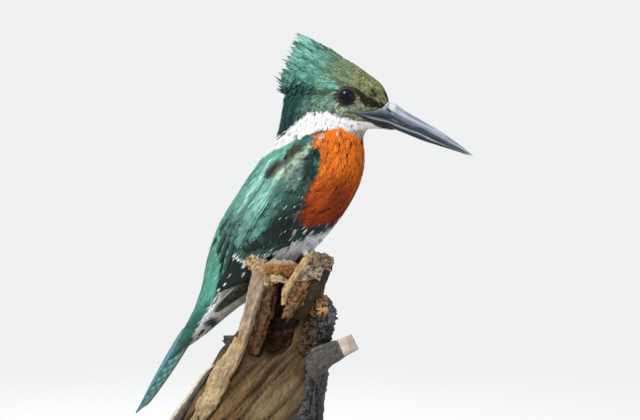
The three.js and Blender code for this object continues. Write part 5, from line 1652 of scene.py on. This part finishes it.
# Bark left on the front, and the broken branch collar above it: rotten inside, with a grey shell.
BARK = [
    ([(24, 3, 34, 12, 17), (27, 3, 50, 10, 17), (30, 2, 68, 8.5, 16.5), (33, 0, 86, 8.5, 16),
      (35, -1, 106, 8, 14)], GREY_BARK, 0.9, 0.5),
    ([(31, -7, 92, 11, 12), (35.5, -9, 103, 10, 12), (40, -11, 112.5, 8.8, 10),
      (40.5, -12, 120, 7.6, 8.6), (38.5, -12.6, 126.5, 4.6, 6)], COLLAR_BARK, 0.5, 1.1),
]
BRANCH_COLLAR = 1
COLLAR_ROT, COLLAR_ROT_DARK = (0.44, 0.25, 0.10), (0.07, 0.035, 0.015)
INNER_WARMTH, SHELL_COOLNESS = (1.3, 0.9, 0.6), (1.9, 2.1, 2.7)
parts, tints = [], []
for number, (path, light, plates, crumble) in enumerate(BARK):
    points, faces, depth, s, fine = timber(
        path, 160, 110, 2.3, 600 + 20 * number, 0.8, 0.6, 1.2, 0.6, crumble, plates
    )
    tint = wood_tint(points, depth, fine, light, GREY_DARK, 700 + 5 * number, 0.35)
    if number == BRANCH_COLLAR:
        z = points[..., 2]
        out = outward(points) + 1.5 * cloud(points, 3, 733)
        rotten = mix(all_over(COLLAR_ROT, s), COLLAR_ROT_DARK, ramp(depth, -0.2, 1.0))
        tint = mix(tint, tint * INNER_WARMTH, ramp(out, 36, 31))
        tint = mix(tint, rotten, ramp(z, 114, 119) * ramp(out, 41.5, 39))
        tint = mix(tint, tint * SHELL_COOLNESS, ramp(out, 38.5, 41) * ramp(z, 108, 112))
    parts.append((points, *faces))
    tints.append(tint)
points, face_sets, _ = join_parts(parts)
make_piece("perch_bark", points, face_sets, DEAD_WOOD, "dead_wood", tint=tints)


# ---- Display stand ---------------------------------------------------------------------------------
# A flat dark wooden base and two short steel rods, screwed up into the sawn end of the branch.

def turned_rod(x):
    """A turned steel rod: a profile of heights and radii spun round it, with a collar at its foot."""
    low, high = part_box("stand_rod_rear")
    foot, top = low[2] * 1000, high[2] * 1000
    heights = np.array([foot, foot + 0.1, foot + 2.6, foot + 3.1, foot + 3.2, top - 0.4, top])
    radii = np.array([6.0, 6.4, 6.4, 6.0, 4.0, 4.0, 3.7])
    turn = np.linspace(0, 2 * np.pi, 64, endpoint=False)
    points = np.stack([
        x + radii[:, None] * np.cos(turn), radii[:, None] * np.sin(turn), heights[:, None] + 0 * turn
    ], -1)
    return points, tube_faces(len(heights), len(turn))


STAND_STEEL = grained_finish("stand_steel", 900, 0.32, 0.00005, shade=(0.85, 1.12), strength=0.2,
                             stretch=(1, 1, 20), colour=(0.55, 0.56, 0.58), Metallic=1.0)
STAND_WOOD = grained_finish("stand_wood", 220, 0.38, 0.0001, shade=(0.6, 1.5), detail=6, strength=0.25,
                            stretch=(9, 1, 1), colour=(0.055, 0.032, 0.02))
for rod_name, x in (("rear", -34), ("front", 18)):
    rod = make_piece(f"rod_{rod_name}", *turned_rod(x), STAND_STEEL, "stand_steel")
    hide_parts(f"stand_rod_{rod_name}")
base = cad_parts["stand_base"]
base.data.materials.clear()
base.data.materials.append(STAND_WOOD)


# ---- Room, light and camera -------------------------------------------------------------------------
# A pale floor that runs off into a backdrop of the same pale grey, three soft lamps, and the camera: low,
# level with the bird, a little ahead of its right side.

CAMERA_TURN, CAMERA_RISE, CAMERA_DISTANCE = np.radians(15), np.radians(2), 1800.0
VIEW_WIDTH = 396.8
AIM = np.array([36.0, 4.3, 179.6])
BACKDROP = (0.87, 0.88, 0.885, 1)

camera_data = bpy.data.cameras.new("camera")
camera_data.sensor_width = 36
camera_data.lens = 36 * CAMERA_DISTANCE / VIEW_WIDTH
camera_data.clip_end = 20
camera = bpy.data.objects.new("camera", camera_data)
level = np.cos(CAMERA_RISE)
back = np.array([np.sin(CAMERA_TURN) * level, -np.cos(CAMERA_TURN) * level, np.sin(CAMERA_RISE)])
camera.location = (AIM + back * CAMERA_DISTANCE) / 1000
camera.rotation_euler = (np.pi / 2 - CAMERA_RISE, 0, CAMERA_TURN)
bpy.context.scene.collection.objects.link(camera)
bpy.context.scene.camera = camera


def soft_lamp(name, place, size, power):
    """A square lamp at a place, turned to face the bird."""
    lamp_data = bpy.data.lights.new(name, "AREA")
    lamp_data.size = size
    lamp_data.energy = power
    lamp = bpy.data.objects.new(name, lamp_data)
    lamp.location = place
    lamp.rotation_euler = (Vector((0, 0, 0.18)) - Vector(place)).to_track_quat("-Z", "Y").to_euler()
    bpy.context.scene.collection.objects.link(lamp)


soft_lamp("key", (-0.35, -0.85, 1.15), 0.42, 17.5)
soft_lamp("fill", (1.1, -0.8, 0.45), 0.9, 2.2)
soft_lamp("rim", (-0.3, 1.0, 0.9), 0.6, 7)


def seen_directly(tree):
    """1 for what the camera sees, straight, mirrored or through glass, and 0 for the light that falls."""
    path = tree.nodes.new("ShaderNodeLightPath")
    total = path.outputs["Is Camera Ray"]
    for ray in ("Is Glossy Ray", "Is Transmission Ray"):
        either = tree.nodes.new("ShaderNodeMath")
        either.operation = "MAXIMUM"
        tree.links.new(total, either.inputs[0])
        tree.links.new(path.outputs[ray], either.inputs[1])
        total = either.outputs[0]
    return total


def mixed_surface(tree, share, under, over, output):
    """Covers one shader by another by that share, and leads both to the output's surface."""
    choice = tree.nodes.new("ShaderNodeMixShader")
    for number, socket in enumerate((share, under.outputs[0], over.outputs[0])):
        tree.links.new(socket, choice.inputs[number])
    tree.links.new(choice.outputs[0], tree.nodes[output].inputs["Surface"])


world = bpy.data.worlds.new("room")
bpy.context.scene.world = world
world.use_nodes = True
tree = world.node_tree
air = tree.nodes["Background"]
air.inputs["Color"].default_value = (0.9, 0.94, 1.0, 1)
air.inputs["Strength"].default_value = 0.46
seen = tree.nodes.new("ShaderNodeBackground")
seen.inputs["Color"].default_value = BACKDROP
mixed_surface(tree, seen_directly(tree), air, seen, "World Output")

floor_mesh = bpy.data.meshes.new("floor")
floor_mesh.from_pydata([(-9, -9, 0), (9, -9, 0), (9, 9, 0), (-9, 9, 0)], [], [(0, 1, 2, 3)])
floor = bpy.data.objects.new("floor", floor_mesh)
bpy.context.scene.collection.objects.link(floor)
floor_paint = bpy.data.materials.new("floor_paint")
floor_paint.use_nodes = True
floor_mesh.materials.append(floor_paint)
tree = floor_paint.node_tree
paint = tree.nodes["Principled BSDF"]
paint.inputs["Base Color"].default_value = (0.8, 0.8, 0.79, 1)
paint.inputs["Roughness"].default_value = 0.8
place = tree.nodes.new("ShaderNodeTexCoord")
reach = tree.nodes.new("ShaderNodeVectorMath")
reach.operation = "LENGTH"
tree.links.new(place.outputs["Object"], reach.inputs[0])
fade = tree.nodes.new("ShaderNodeMapRange")
fade.interpolation_type = "SMOOTHSTEP"
fade.inputs["From Min"].default_value = 0.25
fade.inputs["From Max"].default_value = 1.0
tree.links.new(reach.outputs["Value"], fade.inputs["Value"])
share = tree.nodes.new("ShaderNodeMath")
share.operation = "MULTIPLY"
tree.links.new(fade.outputs["Result"], share.inputs[0])
tree.links.new(seen_directly(tree), share.inputs[1])
pale = tree.nodes.new("ShaderNodeEmission")
pale.inputs["Color"].default_value = BACKDROP
mixed_surface(tree, share.outputs[0], paint, pale, "Material Output")

bpy.context.scene.view_settings.view_transform = "Standard"
